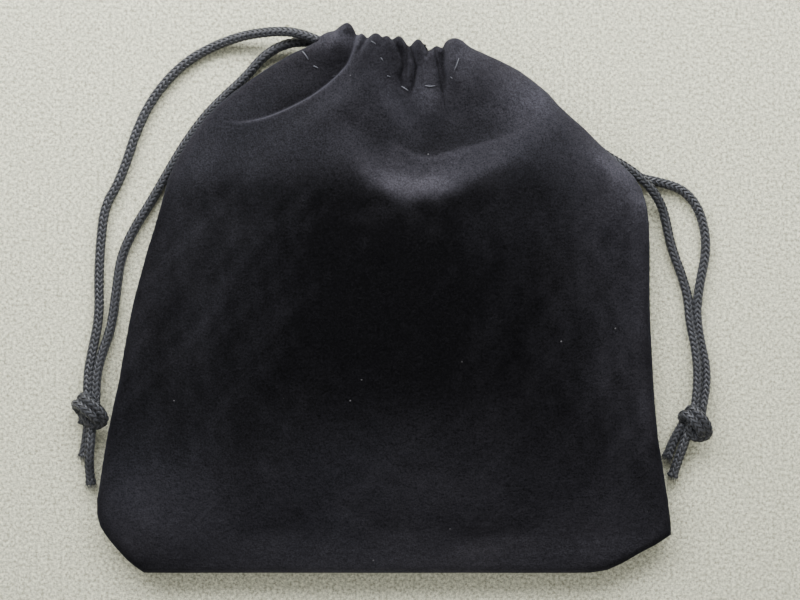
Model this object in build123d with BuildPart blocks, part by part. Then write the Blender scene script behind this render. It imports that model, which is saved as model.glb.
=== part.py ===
"""Velvet drawstring dice bag, lying on its back.

Frame: +X to the bag's right, +Y from its bottom fold towards its mouth, +Z up
from the table. The origin is under the middle of the bag, on the table.
All sizes are in millimetres.
"""

import os
from math import atan2, degrees, radians, tan

from build123d import *

os.makedirs("parts", exist_ok=True)

# ------------------------------------------------------------------ sizes
half_width = 79.8  # bag, side seam to side seam, is twice this
half_height = 76.7  # bottom fold to the tip of the left ear is twice this
velvet_t = 1.2  # pile and backing together
table_cut = 0.4  # the underside is pressed this flat against the table
seam_split_z = 5.0  # height at which the back panel meets the front panel
lip_gap = 0.3  # slack between the front lip and what it moves past
hinge_y = 38.0  # row where the front lip lifts from the front panel
hinge_z = 16.5
bottom_seam_y = -56.0  # the front panel wraps under the bottom fold to here

cord_d = 3.0  # round braided cord
lane_left_y = 70.2  # the left cord's lane in the drawstring channel
lane_right_y = 66.8  # the right cord's lane
run_back_z = 2.5  # height of the cord in the back casing
run_front_z = 12.1  # height of the cord in the front casing
turn_r = 4.79  # the cord turns back on itself at the far end of the mouth
pull_travel = 20.0  # how far each drawstring can be pulled

casing_x0, casing_x1 = -20.0, 22.4  # gathered mouth, from side to side
casing_y0 = 63.8  # row where the casings are sewn to the panels
channel_y0, channel_y1 = 65.0, 72.0
back_casing_z = (0.3, 5.1)
back_channel_z = (0.8, 4.2)
front_casing_z = (9.6, 14.6)
front_channel_z = (10.4, 13.8)

left_turn_x = 17.8  # apex of the left cord's turn (its centreline)
right_turn_x = -14.8  # apex of the right cord's turn

stitch_len, stitch_w, stitch_h = 2.2, 0.5, 0.3
stitch_pitch = 3.2

# Rows across the bag: y, left edge, right edge, crown height, width and
# height of the slope under the left edge, then of the one under the right.
rows = [
    (-76.7, -66.5, 58.0, 7.0, 5.0, 3.0, 5.0, 3.0),
    (-72.0, -70.2, 68.0, 10.5, 6.5, 4.2, 6.5, 4.2),
    (-65.7, -75.0, 79.8, 11.8, 7.5, 5.0, 8.0, 5.0),
    (-60.0, -79.8, 79.0, 12.6, 8.0, 5.0, 8.0, 5.0),
    (-42.0, -78.2, 76.4, 14.0, 8.0, 5.0, 8.0, 5.0),
    (-23.0, -74.7, 74.4, 15.0, 8.0, 5.0, 8.0, 5.0),
    (0.0, -69.3, 73.6, 16.0, 8.0, 5.0, 8.0, 5.0),
    (20.0, -64.0, 73.3, 17.0, 8.0, 5.0, 9.0, 5.4),
    (30.0, -61.5, 71.5, 17.0, 8.0, 5.0, 15.0, 7.4),
    (38.0, -59.0, 65.5, 16.5, 9.0, 6.0, 20.0, 9.0),
    (45.0, -54.0, 57.5, 15.5, 10.0, 7.0, 20.0, 9.0),
    (52.0, -48.0, 50.5, 15.0, 10.0, 7.0, 20.0, 9.0),
    (58.0, -41.0, 44.5, 14.7, 10.0, 7.0, 20.0, 9.0),
    (63.8, -31.5, 35.8, 14.6, 10.0, 7.0, 20.0, 9.0),
]

# The pouch inside: y, left wall, right wall. Past the shoulders the gathered
# velvet is bunched, so the inside narrows faster than the outside.
inside = [
    (-75.3, -59.5, 50.0),
    (-72.0, -66.0, 63.0),
    (-65.7, -72.4, 76.4),
    (-60.0, -77.4, 76.6),
    (-42.0, -76.2, 74.4),
    (-23.0, -72.7, 72.4),
    (0.0, -67.3, 71.6),
    (20.0, -62.0, 71.3),
    (30.0, -59.5, 69.3),
    (38.0, -57.0, 62.9),
    (45.0, -50.5, 54.0),
    (52.0, -42.0, 46.0),
    (58.0, -32.0, 37.0),
    (63.8, -22.0, 25.0),
    (66.0, -22.0, 25.0),
]


def row_at(y):
    """The bag's row at any y, between the rows of the table."""
    y = min(max(y, rows[0][0]), rows[-1][0])
    for low, high in zip(rows, rows[1:]):
        if low[0] <= y <= high[0]:
            f = (y - low[0]) / (high[0] - low[0])
            return tuple(a + (b - a) * f for a, b in zip(low, high))
    return rows[-1]


def crown(x0, z0, x1, z1, top, count=9):
    """Points over the bag from its left edge to its right edge."""
    points = []
    for i in range(count + 2):
        u = i / (count + 1)
        base = z0 + (z1 - z0) * u
        points.append(
            (x0 + (x1 - x0) * u, base + (top - base) * (1 - abs(2 * u - 1) ** 2.8))
        )
    return points


def outer_section(row):
    """Outside of the bag at one row: underside, two slopes and the crown."""
    y, xl, xr, top, el, zl, er, zr = row
    with BuildSketch(Plane.XZ.offset(-y)) as section:
        with BuildLine():
            Line((xl + el, -table_cut), (xr - er, -table_cut))
            Line((xr - er, -table_cut), (xr, zr))
            Spline(*reversed(crown(xl, zl, xr, zr, top)))
            Line((xl, zl), (xl + el, -table_cut))
        make_face()
    return section.sketch


def inner_section(y, xl, xr):
    """Inside of the pouch at one row."""
    _, ol, orr, top, el, zl, er, zr = row_at(y)
    floor = velvet_t
    lift_l = zl if y < bottom_seam_y else max(zl + 0.2, 5.2)
    lift_r = zr if y < bottom_seam_y else max(zr, 5.6)
    left_foot = max(ol + el + 0.4, xl + 2.5)
    right_foot = min(orr - er - 0.4, xr - 2.5)
    with BuildSketch(Plane.XZ.offset(-y)) as section:
        with BuildLine():
            Line((left_foot, floor), (right_foot, floor))
            Line((right_foot, floor), (xr, lift_r))
            Spline(*reversed(crown(xl, lift_l, xr, lift_r, top - velvet_t)))
            Line((xl, lift_l), (left_foot, floor))
        make_face()
    return section.sketch


def bend_radii(route):
    """The largest arc each corner of a cord's route has room for."""
    radii = []
    for a, b, c in zip(route, route[1:], route[2:]):
        ab, bc = Vector(b) - Vector(a), Vector(c) - Vector(b)
        half_turn = radians(ab.get_angle(bc)) / 2
        radii.append(0.45 * min(ab.length, bc.length) / tan(half_turn))
    return radii


# ------------------------------------------------------------- the velvet
with BuildPart() as bag_outside:
    for row in rows:
        add(outer_section(row))
    loft(ruled=True)

with BuildPart() as bag_inside:
    for y, xl, xr in inside:
        add(inner_section(y, xl, xr))
    loft(ruled=True)

with BuildPart() as shell:
    add(bag_outside.part)
    add(bag_inside.part, mode=Mode.SUBTRACT)
    # pressed flat on the table
    with Locations((0, 0, -10)):
        Box(400, 400, 10, align=(Align.CENTER, Align.CENTER, Align.MIN), mode=Mode.SUBTRACT)
    # valley of the bottom seam, and of the two boxed corner seams
    with Locations((-2, bottom_seam_y, 0)):
        Box(130, 0.9, 0.7, mode=Mode.SUBTRACT)
    with Locations((-64.5, -57, 0), (62.0, -57, 0)):
        Box(0.9, 28, 0.7, mode=Mode.SUBTRACT)

with BuildPart() as back_panel:
    add(shell.part)
    with Locations((0, 0, seam_split_z)):
        Box(400, 400, 60, align=(Align.CENTER, Align.CENTER, Align.MIN), mode=Mode.SUBTRACT)
    with Locations((0, bottom_seam_y, 0)):
        Box(400, 200, 60, align=(Align.CENTER, Align.MAX, Align.CENTER), mode=Mode.SUBTRACT)

with BuildPart() as front_panel:
    add(shell.part)
    with Locations((0, bottom_seam_y, seam_split_z)):
        Box(400, 300, 60, align=(Align.CENTER, Align.MIN, Align.MAX), mode=Mode.SUBTRACT)
    with Locations((0, hinge_y - lip_gap / 2, 0)):
        Box(400, 300, 80, align=(Align.CENTER, Align.MIN, Align.CENTER), mode=Mode.SUBTRACT)

with BuildPart() as front_lip_panel:
    add(shell.part)
    with Locations((0, 0, seam_split_z + lip_gap)):
        Box(400, 400, 60, align=(Align.CENTER, Align.CENTER, Align.MAX), mode=Mode.SUBTRACT)
    with Locations((0, hinge_y + lip_gap / 2, 0)):
        Box(400, 300, 80, align=(Align.CENTER, Align.MAX, Align.CENTER), mode=Mode.SUBTRACT)
    # corner taken off where the lip swings past the right cord
    with Locations((casing_x1 + 0.1, 62.9, seam_split_z)):
        Box(4.4, 3, 3.4, align=(Align.MIN, Align.MIN, Align.MIN), mode=Mode.SUBTRACT)

# ------------------------------------------------------------ the casings
casing_outline = [
    (casing_x0, casing_y0),
    (casing_x1, casing_y0),
    (casing_x1, 72.6),
    (14.0, 73.2),
    (-4.0, 73.6),
    (-10.7, half_height),
    (-17.5, 73.6),
    (casing_x0, 72.8),
]
channel_mid_y = (channel_y0 + channel_y1) / 2
channel_w = channel_y1 - channel_y0
lane_split_y = (lane_left_y + lane_right_y) / 2

with BuildPart() as back_casing:
    with BuildSketch(Plane.XY.offset(back_casing_z[0])):
        with BuildLine():
            Polyline(*casing_outline, close=True)
        make_face()
    extrude(amount=back_casing_z[1] - back_casing_z[0])
    # drawstring channel, from side to side
    with Locations((0, channel_mid_y, sum(back_channel_z) / 2)):
        Box(120, channel_w, back_channel_z[1] - back_channel_z[0], mode=Mode.SUBTRACT)
    # slots that the two turns of cord travel along
    with Locations((left_turn_x - pull_travel - 5.3, lane_split_y - 0.1, back_channel_z[1] - 0.5)):
        Box(80, 3.6, 5, align=(Align.MIN, Align.MIN, Align.MIN), mode=Mode.SUBTRACT)
    with Locations((right_turn_x + pull_travel + 5.3, lane_split_y + 0.1, back_channel_z[1] - 0.5)):
        Box(80, 3.6, 5, align=(Align.MAX, Align.MAX, Align.MIN), mode=Mode.SUBTRACT)

with BuildPart() as front_casing:
    with BuildSketch(Plane.XY.offset(front_casing_z[0])):
        with BuildLine():
            Polyline(*casing_outline, close=True)
        make_face()
    extrude(amount=front_casing_z[1] - front_casing_z[0])
    with Locations((0, channel_mid_y, sum(front_channel_z) / 2)):
        Box(120, channel_w, front_channel_z[1] - front_channel_z[0], mode=Mode.SUBTRACT)
    # these slots are wider towards the hinge, because the lip swings past the cord
    with Locations((left_turn_x - pull_travel - 5.3, lane_split_y - 0.7, front_channel_z[0] + 0.5)):
        Box(80, 4.2, 5, align=(Align.MIN, Align.MIN, Align.MAX), mode=Mode.SUBTRACT)
    with Locations((right_turn_x + pull_travel + 5.3, lane_split_y + 0.1, front_channel_z[0] + 0.5)):
        Box(80, 4.2, 5, align=(Align.MAX, Align.MAX, Align.MAX), mode=Mode.SUBTRACT)

# -------------------------------------------------------------- the seams
stitch_count = int((casing_x1 - casing_x0 - 3) // stitch_pitch)

with BuildPart() as channel_stitching_front:
    with Locations((1.2, casing_y0 + 0.7, front_casing_z[1] + stitch_h / 2)):
        with GridLocations(stitch_pitch, 1, stitch_count, 1):
            Box(stitch_len, stitch_w, stitch_h)

with BuildPart() as channel_stitching_back:
    with Locations((1.2, casing_y0 + 0.7, back_casing_z[0] - stitch_h / 2)):
        with GridLocations(stitch_pitch, 1, stitch_count, 1):
            Box(stitch_len, stitch_w, stitch_h)

with BuildPart() as bottom_seam_thread:
    with Locations((-2, bottom_seam_y, stitch_h / 2 + 0.02)):
        with GridLocations(stitch_pitch, 1, 39, 1):
            Box(stitch_len, stitch_w, stitch_h)

with BuildPart() as corner_seam_thread_left:
    with Locations((-64.5, -64.0, stitch_h / 2 + 0.02)):
        with GridLocations(1, stitch_pitch, 1, 4):
            Box(stitch_w, stitch_len, stitch_h)
    with Locations((-64.5, -50.0, stitch_h / 2 + 0.02)):
        with GridLocations(1, stitch_pitch, 1, 4):
            Box(stitch_w, stitch_len, stitch_h)

with BuildPart() as corner_seam_thread_right:
    with Locations((62.0, -64.0, stitch_h / 2 + 0.02)):
        with GridLocations(1, stitch_pitch, 1, 4):
            Box(stitch_w, stitch_len, stitch_h)
    with Locations((62.0, -50.0, stitch_h / 2 + 0.02)):
        with GridLocations(1, stitch_pitch, 1, 4):
            Box(stitch_w, stitch_len, stitch_h)

side_stitch_y = [-54 + stitch_pitch * i for i in range(28)]

with BuildPart() as side_seam_thread_left:
    for y in side_stitch_y:
        x, z = row_at(y)[1], row_at(y)[5]
        slope = atan2(row_at(y + 1)[1] - row_at(y - 1)[1], 2)
        with Locations(Location((x + 0.45, y, z), (0, 0, -degrees(slope)))):
            Box(0.8, stitch_len, 0.7)

with BuildPart() as side_seam_thread_right:
    for y in side_stitch_y:
        x, z = row_at(y)[2], row_at(y)[7]
        slope = atan2(row_at(y + 1)[2] - row_at(y - 1)[2], 2)
        with Locations(Location((x - 0.45, y, z), (0, 0, -degrees(slope)))):
            Box(0.8, stitch_len, 0.7)

# ----------------------------------------------- the left drawstring, laid
left_outer_route = [
    (-20.8, 70.3, 12.1),
    (-26.0, 71.5, 11.3),
    (-34.5, 73.7, 7.6),
    (-43.5, 72.6, 4.0),
    (-53.0, 66.4, 2.0),
    (-61.5, 57.4, 1.5),
    (-69.0, 44.0, 1.5),
    (-74.5, 29.5, 1.5),
    (-78.8, 17.5, 1.5),
    (-79.4, 5.0, 1.5),
    (-79.0, -5.0, 1.5),
    (-81.2, -15.5, 1.5),
    (-82.8, -22.5, 1.5),
    (-82.9, -27.4, 1.6),
]
left_inner_route = [
    (-20.6, 70.2, 2.5),
    (-28.5, 69.6, 2.1),
    (-36.8, 64.2, 1.5),
    (-45.0, 55.7, 1.5),
    (-54.0, 45.6, 1.5),
    (-61.0, 34.5, 1.5),
    (-67.8, 24.5, 1.5),
    (-72.8, 13.8, 1.5),
    (-74.2, 2.5, 1.5),
    (-75.5, -8.5, 1.9),
    (-79.3, -17.5, 4.6),
    (-80.8, -23.0, 5.2),
    (-80.8, -27.4, 5.2),
]
left_long_tail_route = [
    (-81.9, -33.4, 4.6),
    (-82.0, -40.5, 3.6),
    (-81.6, -47.0, 1.7),
    (-81.4, -51.4, 1.5),
]
left_short_tail_route = [(-82.8, -33.2, 1.9), (-83.8, -39.6, 1.5), (-84.2, -43.9, 1.5)]
left_knot_at = (-81.7, -30.7)

with BuildPart() as left_outer_strand:
    with BuildLine() as path:
        FilletPolyline(*left_outer_route, radius=bend_radii(left_outer_route))
    with BuildSketch(Plane(origin=path.line @ 0, z_dir=path.line % 0)):
        Circle(cord_d / 2)
    sweep(path=path.line)

with BuildPart() as left_inner_strand:
    with BuildLine() as path:
        FilletPolyline(*left_inner_route, radius=bend_radii(left_inner_route))
    with BuildSketch(Plane(origin=path.line @ 0, z_dir=path.line % 0)):
        Circle(cord_d / 2)
    sweep(path=path.line)

with BuildPart() as left_long_tail:
    with BuildLine() as path:
        FilletPolyline(*left_long_tail_route, radius=bend_radii(left_long_tail_route))
    with BuildSketch(Plane(origin=path.line @ 0, z_dir=path.line % 0)):
        Circle(cord_d / 2)
    sweep(path=path.line)

with BuildPart() as left_short_tail:
    with BuildLine() as path:
        FilletPolyline(*left_short_tail_route, radius=bend_radii(left_short_tail_route))
    with BuildSketch(Plane(origin=path.line @ 0, z_dir=path.line % 0)):
        Circle(cord_d / 2)
    sweep(path=path.line)

with BuildPart() as left_knot:
    with BuildSketch(Plane.XY):
        with Locations(left_knot_at):
            Ellipse(4.5, 5.2)
    extrude(amount=7.0)
    fillet(left_knot.edges(), radius=2.2)

# the cord inside the channel, and its turn at the far end of the mouth
left_back_route = [
    (casing_x0 - 0.3, lane_left_y, run_back_z),
    (left_turn_x, lane_left_y, run_back_z),
    (left_turn_x, lane_left_y, run_front_z),
    (left_turn_x - turn_r - 0.2, lane_left_y, run_front_z),
]
with BuildPart() as left_back_run:
    with BuildLine() as path:
        FilletPolyline(*left_back_route, radius=turn_r)
    with BuildSketch(Plane(origin=path.line @ 0, z_dir=path.line % 0)):
        Circle(cord_d / 2)
    sweep(path=path.line)

with BuildPart() as left_front_run:
    with BuildSketch(Plane.YZ.offset(casing_x0)):
        with Locations((lane_left_y, run_front_z)):
            Circle(cord_d / 2)
    extrude(amount=left_turn_x - turn_r - 0.5 - casing_x0)

# ---------------------------------------------- the right drawstring, laid
right_outer_route = [
    (casing_x1 + 0.8, 66.8, 12.1),
    (27.8, 67.9, 10.4),
    (33.4, 66.4, 5.7),
    (39.5, 60.2, 2.6),
    (46.8, 53.2, 1.5),
    (55.0, 46.0, 1.5),
    (64.0, 39.8, 1.5),
    (73.2, 34.6, 1.5),
    (82.0, 32.0, 1.5),
    (88.2, 24.5, 1.5),
    (89.6, 13.0, 1.5),
    (87.2, 2.5, 1.5),
    (86.8, -8.0, 1.5),
    (89.4, -18.5, 1.5),
    (88.8, -27.0, 1.5),
    (87.8, -31.6, 1.6),
]
right_inner_route = [
    (casing_x1 + 0.8, 66.7, 2.5),
    (27.6, 65.5, 2.2),
    (33.0, 60.8, 1.7),
    (39.0, 55.0, 1.5),
    (46.4, 48.8, 1.5),
    (54.2, 41.9, 1.5),
    (63.0, 35.8, 1.5),
    (71.4, 30.2, 1.5),
    (77.0, 22.6, 1.5),
    (80.4, 13.0, 1.5),
    (82.9, 3.2, 1.6),
    (84.4, -7.0, 3.4),
    (87.0, -17.5, 4.8),
    (86.8, -26.5, 5.2),
    (86.0, -31.6, 5.2),
]
right_long_tail_route = [(85.4, -36.8, 4.9), (83.6, -42.8, 3.8), (80.7, -49.3, 1.6)]
right_short_tail_route = [(83.4, -36.0, 1.7), (81.2, -40.4, 1.5), (78.6, -45.2, 1.5)]
right_knot_at = (86.1, -34.3)

with BuildPart() as right_outer_strand:
    with BuildLine() as path:
        FilletPolyline(*right_outer_route, radius=bend_radii(right_outer_route))
    with BuildSketch(Plane(origin=path.line @ 0, z_dir=path.line % 0)):
        Circle(cord_d / 2)
    sweep(path=path.line)

with BuildPart() as right_inner_strand:
    with BuildLine() as path:
        FilletPolyline(*right_inner_route, radius=bend_radii(right_inner_route))
    with BuildSketch(Plane(origin=path.line @ 0, z_dir=path.line % 0)):
        Circle(cord_d / 2)
    sweep(path=path.line)

with BuildPart() as right_long_tail:
    with BuildLine() as path:
        FilletPolyline(*right_long_tail_route, radius=bend_radii(right_long_tail_route))
    with BuildSketch(Plane(origin=path.line @ 0, z_dir=path.line % 0)):
        Circle(cord_d / 2)
    sweep(path=path.line)

with BuildPart() as right_short_tail:
    with BuildLine() as path:
        FilletPolyline(*right_short_tail_route, radius=bend_radii(right_short_tail_route))
    with BuildSketch(Plane(origin=path.line @ 0, z_dir=path.line % 0)):
        Circle(cord_d / 2)
    sweep(path=path.line)

with BuildPart() as right_knot:
    with BuildSketch(Plane.XY):
        with Locations(right_knot_at):
            Ellipse(4.3, 4.6)
    extrude(amount=7.0)
    fillet(right_knot.edges(), radius=2.0)

right_back_route = [
    (casing_x1 + 0.3, lane_right_y, run_back_z),
    (right_turn_x, lane_right_y, run_back_z),
    (right_turn_x, lane_right_y, run_front_z),
    (right_turn_x + turn_r + 0.2, lane_right_y, run_front_z),
]
with BuildPart() as right_back_run:
    with BuildLine() as path:
        FilletPolyline(*right_back_route, radius=turn_r)
    with BuildSketch(Plane(origin=path.line @ 0, z_dir=path.line % 0)):
        Circle(cord_d / 2)
    sweep(path=path.line)

with BuildPart() as right_front_run:
    with BuildSketch(Plane.YZ.offset(casing_x1)):
        with Locations((lane_right_y, run_front_z)):
            Circle(cord_d / 2)
    extrude(amount=-(casing_x1 - (right_turn_x + turn_r + 0.5)))

# ------------------------------------------------------------------ output
pieces = {
    "back_panel": back_panel,
    "front_panel": front_panel,
    "front_lip_panel": front_lip_panel,
    "back_casing": back_casing,
    "front_casing": front_casing,
    "channel_stitching_front": channel_stitching_front,
    "channel_stitching_back": channel_stitching_back,
    "bottom_seam_thread": bottom_seam_thread,
    "corner_seam_thread_left": corner_seam_thread_left,
    "corner_seam_thread_right": corner_seam_thread_right,
    "side_seam_thread_left": side_seam_thread_left,
    "side_seam_thread_right": side_seam_thread_right,
    "left_outer_strand": left_outer_strand,
    "left_inner_strand": left_inner_strand,
    "left_knot": left_knot,
    "left_long_tail": left_long_tail,
    "left_short_tail": left_short_tail,
    "left_back_run": left_back_run,
    "left_front_run": left_front_run,
    "right_outer_strand": right_outer_strand,
    "right_inner_strand": right_inner_strand,
    "right_knot": right_knot,
    "right_long_tail": right_long_tail,
    "right_short_tail": right_short_tail,
    "right_back_run": right_back_run,
    "right_front_run": right_front_run,
}
for name, piece in pieces.items():
    piece.part.label = name
    export_step(piece.part, f"parts/{name}.step")

# the cord's bends and its volume against section times length
section = 3.141592653589793 * (cord_d / 2) ** 2
for name, route in (
    ("left_outer_strand", left_outer_route),
    ("left_inner_strand", left_inner_route),
    ("left_long_tail", left_long_tail_route),
    ("left_short_tail", left_short_tail_route),
    ("right_outer_strand", right_outer_route),
    ("right_inner_strand", right_inner_route),
    ("right_long_tail", right_long_tail_route),
    ("right_short_tail", right_short_tail_route),
):
    radii = bend_radii(route)
    with BuildLine() as path:
        FilletPolyline(*route, radius=radii)
    length = sum(edge.length for edge in path.line.edges())
    ratio = pieces[name].part.volume / (section * length)
    print(name, "length %.1f volume ratio %.4f radii" % (length, ratio), [round(r, 1) for r in radii])
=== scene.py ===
import math
import random

import bpy
import numpy as np
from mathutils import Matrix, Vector


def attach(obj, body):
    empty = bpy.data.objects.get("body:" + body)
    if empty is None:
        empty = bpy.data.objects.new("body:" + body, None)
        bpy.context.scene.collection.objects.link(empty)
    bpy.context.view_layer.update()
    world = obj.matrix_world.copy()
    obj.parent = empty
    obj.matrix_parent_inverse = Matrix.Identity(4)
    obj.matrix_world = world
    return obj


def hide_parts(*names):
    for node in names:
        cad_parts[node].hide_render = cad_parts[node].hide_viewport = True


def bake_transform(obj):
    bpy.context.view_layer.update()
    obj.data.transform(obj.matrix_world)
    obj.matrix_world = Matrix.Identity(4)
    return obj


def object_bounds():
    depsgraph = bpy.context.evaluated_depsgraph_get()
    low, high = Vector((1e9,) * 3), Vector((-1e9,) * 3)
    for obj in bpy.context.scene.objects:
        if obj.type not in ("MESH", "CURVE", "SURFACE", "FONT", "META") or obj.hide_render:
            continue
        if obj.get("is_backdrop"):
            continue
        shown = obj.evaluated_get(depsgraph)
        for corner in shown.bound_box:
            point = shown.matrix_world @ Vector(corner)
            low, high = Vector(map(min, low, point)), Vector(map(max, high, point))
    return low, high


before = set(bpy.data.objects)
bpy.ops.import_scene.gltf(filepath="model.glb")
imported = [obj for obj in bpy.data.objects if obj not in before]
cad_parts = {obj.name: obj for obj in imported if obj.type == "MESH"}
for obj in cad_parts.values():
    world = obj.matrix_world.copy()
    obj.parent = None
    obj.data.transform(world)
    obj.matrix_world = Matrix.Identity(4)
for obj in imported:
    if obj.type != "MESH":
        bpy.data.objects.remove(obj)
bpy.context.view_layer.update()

random.seed(11)
rng = np.random.default_rng(11)
MM = 0.001
YARN_R = 1.43

# =====================================================================
# camera, straight above the bag, with its mouth at the top of the frame
# =====================================================================
camera_data = bpy.data.cameras.new("camera")
camera_data.sensor_fit = "HORIZONTAL"
camera_data.angle = 2 * math.atan(111.11 / 500.0)
camera_data.clip_start = 0.01
camera_data.clip_end = 20.0
camera = bpy.data.objects.new("camera", camera_data)
camera.location = (0.0043, -0.0007, 0.505)
bpy.context.scene.collection.objects.link(camera)
bpy.context.scene.camera = camera


# =====================================================================
# materials
# =====================================================================
def new_material(name):
    material = bpy.data.materials.new(name)
    material.use_nodes = True
    tree = material.node_tree
    return material, tree, tree.nodes["Principled BSDF"]


def node(tree, kind, **settings):
    n = tree.nodes.new(kind)
    for key, value in settings.items():
        if key in n.inputs:
            n.inputs[key].default_value = value
        else:
            setattr(n, key, value)
    return n


def velvet_material():
    """Black velvet. Painted sheen and painted shade in its base colour: darkest where the cloth faces up, pale
    where it is bent over a slope or a fold. A vertex attribute says how far."""
    material, tree, bsdf = new_material("black_velvet")
    link = tree.links.new
    where = node(tree, "ShaderNodeTexCoord")
    # vertex attribute of painted sheen and painted shade, set from slopes, folds and hollows
    painted_sheen = node(tree, "ShaderNodeAttribute", attribute_name="painted_sheen")
    # tufts of pile, a few tenths of a millimetre across
    tufts = node(tree, "ShaderNodeTexNoise", Scale=2100.0, Detail=3.0, Roughness=0.75)
    link(where.outputs["Object"], tufts.inputs["Vector"])
    # brushed patches, several millimetres across
    patches = node(tree, "ShaderNodeTexNoise", Scale=70.0, Detail=5.0, Roughness=0.65)
    link(where.outputs["Object"], patches.inputs["Vector"])
    streaks = node(tree, "ShaderNodeTexNoise", Scale=640.0, Detail=3.0, Roughness=0.6)
    link(where.outputs["Object"], streaks.inputs["Vector"])
    patch_range = node(tree, "ShaderNodeMapRange")
    patch_range.inputs["From Min"].default_value = 0.3
    patch_range.inputs["From Max"].default_value = 0.7
    patch_range.inputs["To Min"].default_value = 0.89
    patch_range.inputs["To Max"].default_value = 1.11
    link(patches.outputs["Fac"], patch_range.inputs["Value"])
    streak_range = node(tree, "ShaderNodeMapRange")
    streak_range.inputs["From Min"].default_value = 0.3
    streak_range.inputs["From Max"].default_value = 0.7
    streak_range.inputs["To Min"].default_value = 0.86
    streak_range.inputs["To Max"].default_value = 1.14
    link(streaks.outputs["Fac"], streak_range.inputs["Value"])
    tuft_range = node(tree, "ShaderNodeMapRange")
    tuft_range.inputs["From Min"].default_value = 0.25
    tuft_range.inputs["From Max"].default_value = 0.75
    tuft_range.inputs["To Min"].default_value = 0.40
    tuft_range.inputs["To Max"].default_value = 1.60
    link(tufts.outputs["Fac"], tuft_range.inputs["Value"])
    m1 = node(tree, "ShaderNodeMath", operation="MULTIPLY")
    link(painted_sheen.outputs["Fac"], m1.inputs[0])
    link(patch_range.outputs["Result"], m1.inputs[1])
    m2 = node(tree, "ShaderNodeMath", operation="MULTIPLY")
    link(m1.outputs[0], m2.inputs[0])
    link(tuft_range.outputs["Result"], m2.inputs[1])
    m3 = node(tree, "ShaderNodeMath", operation="MULTIPLY")
    link(m2.outputs[0], m3.inputs[0])
    link(streak_range.outputs["Result"], m3.inputs[1])
    grain = node(tree, "ShaderNodeMath", operation="MULTIPLY_ADD")
    link(tuft_range.outputs["Result"], grain.inputs[0])
    grain.inputs[1].default_value = 0.0050
    grain.inputs[2].default_value = -0.0050
    m4 = node(tree, "ShaderNodeMath", operation="ADD")
    link(m3.outputs[0], m4.inputs[0])
    link(grain.outputs[0], m4.inputs[1])
    m5 = node(tree, "ShaderNodeMath", operation="MAXIMUM")
    m5.inputs[1].default_value = 0.0008
    link(m4.outputs[0], m5.inputs[0])
    # a slight shift between cool and warm black across the cloth
    tint_noise = node(tree, "ShaderNodeTexNoise", Scale=38.0, Detail=2.0)
    link(where.outputs["Object"], tint_noise.inputs["Vector"])
    tint = node(tree, "ShaderNodeMix", data_type="RGBA")
    tint.inputs["A"].default_value = (0.955, 0.96, 1.19, 1)
    tint.inputs["B"].default_value = (1.035, 0.98, 1.13, 1)
    link(tint_noise.outputs["Fac"], tint.inputs["Factor"])
    scale = node(tree, "ShaderNodeVectorMath", operation="SCALE")
    link(tint.outputs["Result"], scale.inputs[0])
    link(m5.outputs[0], scale.inputs["Scale"])
    # a few specks of pale lint
    specks = node(tree, "ShaderNodeTexVoronoi", Scale=330.0, Randomness=1.0)
    link(where.outputs["Object"], specks.inputs["Vector"])
    small = node(tree, "ShaderNodeMath", operation="LESS_THAN")
    small.inputs[1].default_value = 0.075
    link(specks.outputs["Distance"], small.inputs[0])
    rare = node(tree, "ShaderNodeSeparateColor")
    link(specks.outputs["Color"], rare.inputs["Color"])
    few = node(tree, "ShaderNodeMath", operation="GREATER_THAN")
    few.inputs[1].default_value = 0.955
    link(rare.outputs["Red"], few.inputs[0])
    speck = node(tree, "ShaderNodeMath", operation="MULTIPLY")
    link(small.outputs[0], speck.inputs[0])
    link(few.outputs[0], speck.inputs[1])
    speck_part = node(tree, "ShaderNodeMath", operation="MULTIPLY")
    speck_part.inputs[1].default_value = 0.6
    link(speck.outputs[0], speck_part.inputs[0])
    mix = node(tree, "ShaderNodeMix", data_type="RGBA")
    mix.inputs["B"].default_value = (0.16, 0.155, 0.16, 1)
    link(speck_part.outputs[0], mix.inputs["Factor"])
    link(scale.outputs["Vector"], mix.inputs["A"])
    link(mix.outputs["Result"], bsdf.inputs["Base Color"])
    bsdf.inputs["Roughness"].default_value = 0.95
    bsdf.inputs["Specular IOR Level"].default_value = 0.06
    bsdf.inputs["Sheen Weight"].default_value = 0.05
    bsdf.inputs["Sheen Roughness"].default_value = 0.38
    bsdf.inputs["Sheen Tint"].default_value = (0.72, 0.76, 1.0, 1)
    # pile relief
    bump = node(tree, "ShaderNodeBump", Strength=0.45, Distance=0.0003)
    link(tufts.outputs["Fac"], bump.inputs["Height"])
    bump2 = node(tree, "ShaderNodeBump", Strength=0.30, Distance=0.0012)
    link(streaks.outputs["Fac"], bump2.inputs["Height"])
    link(bump.outputs["Normal"], bump2.inputs["Normal"])
    link(bump2.outputs["Normal"], bsdf.inputs["Normal"])
    return material


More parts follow.
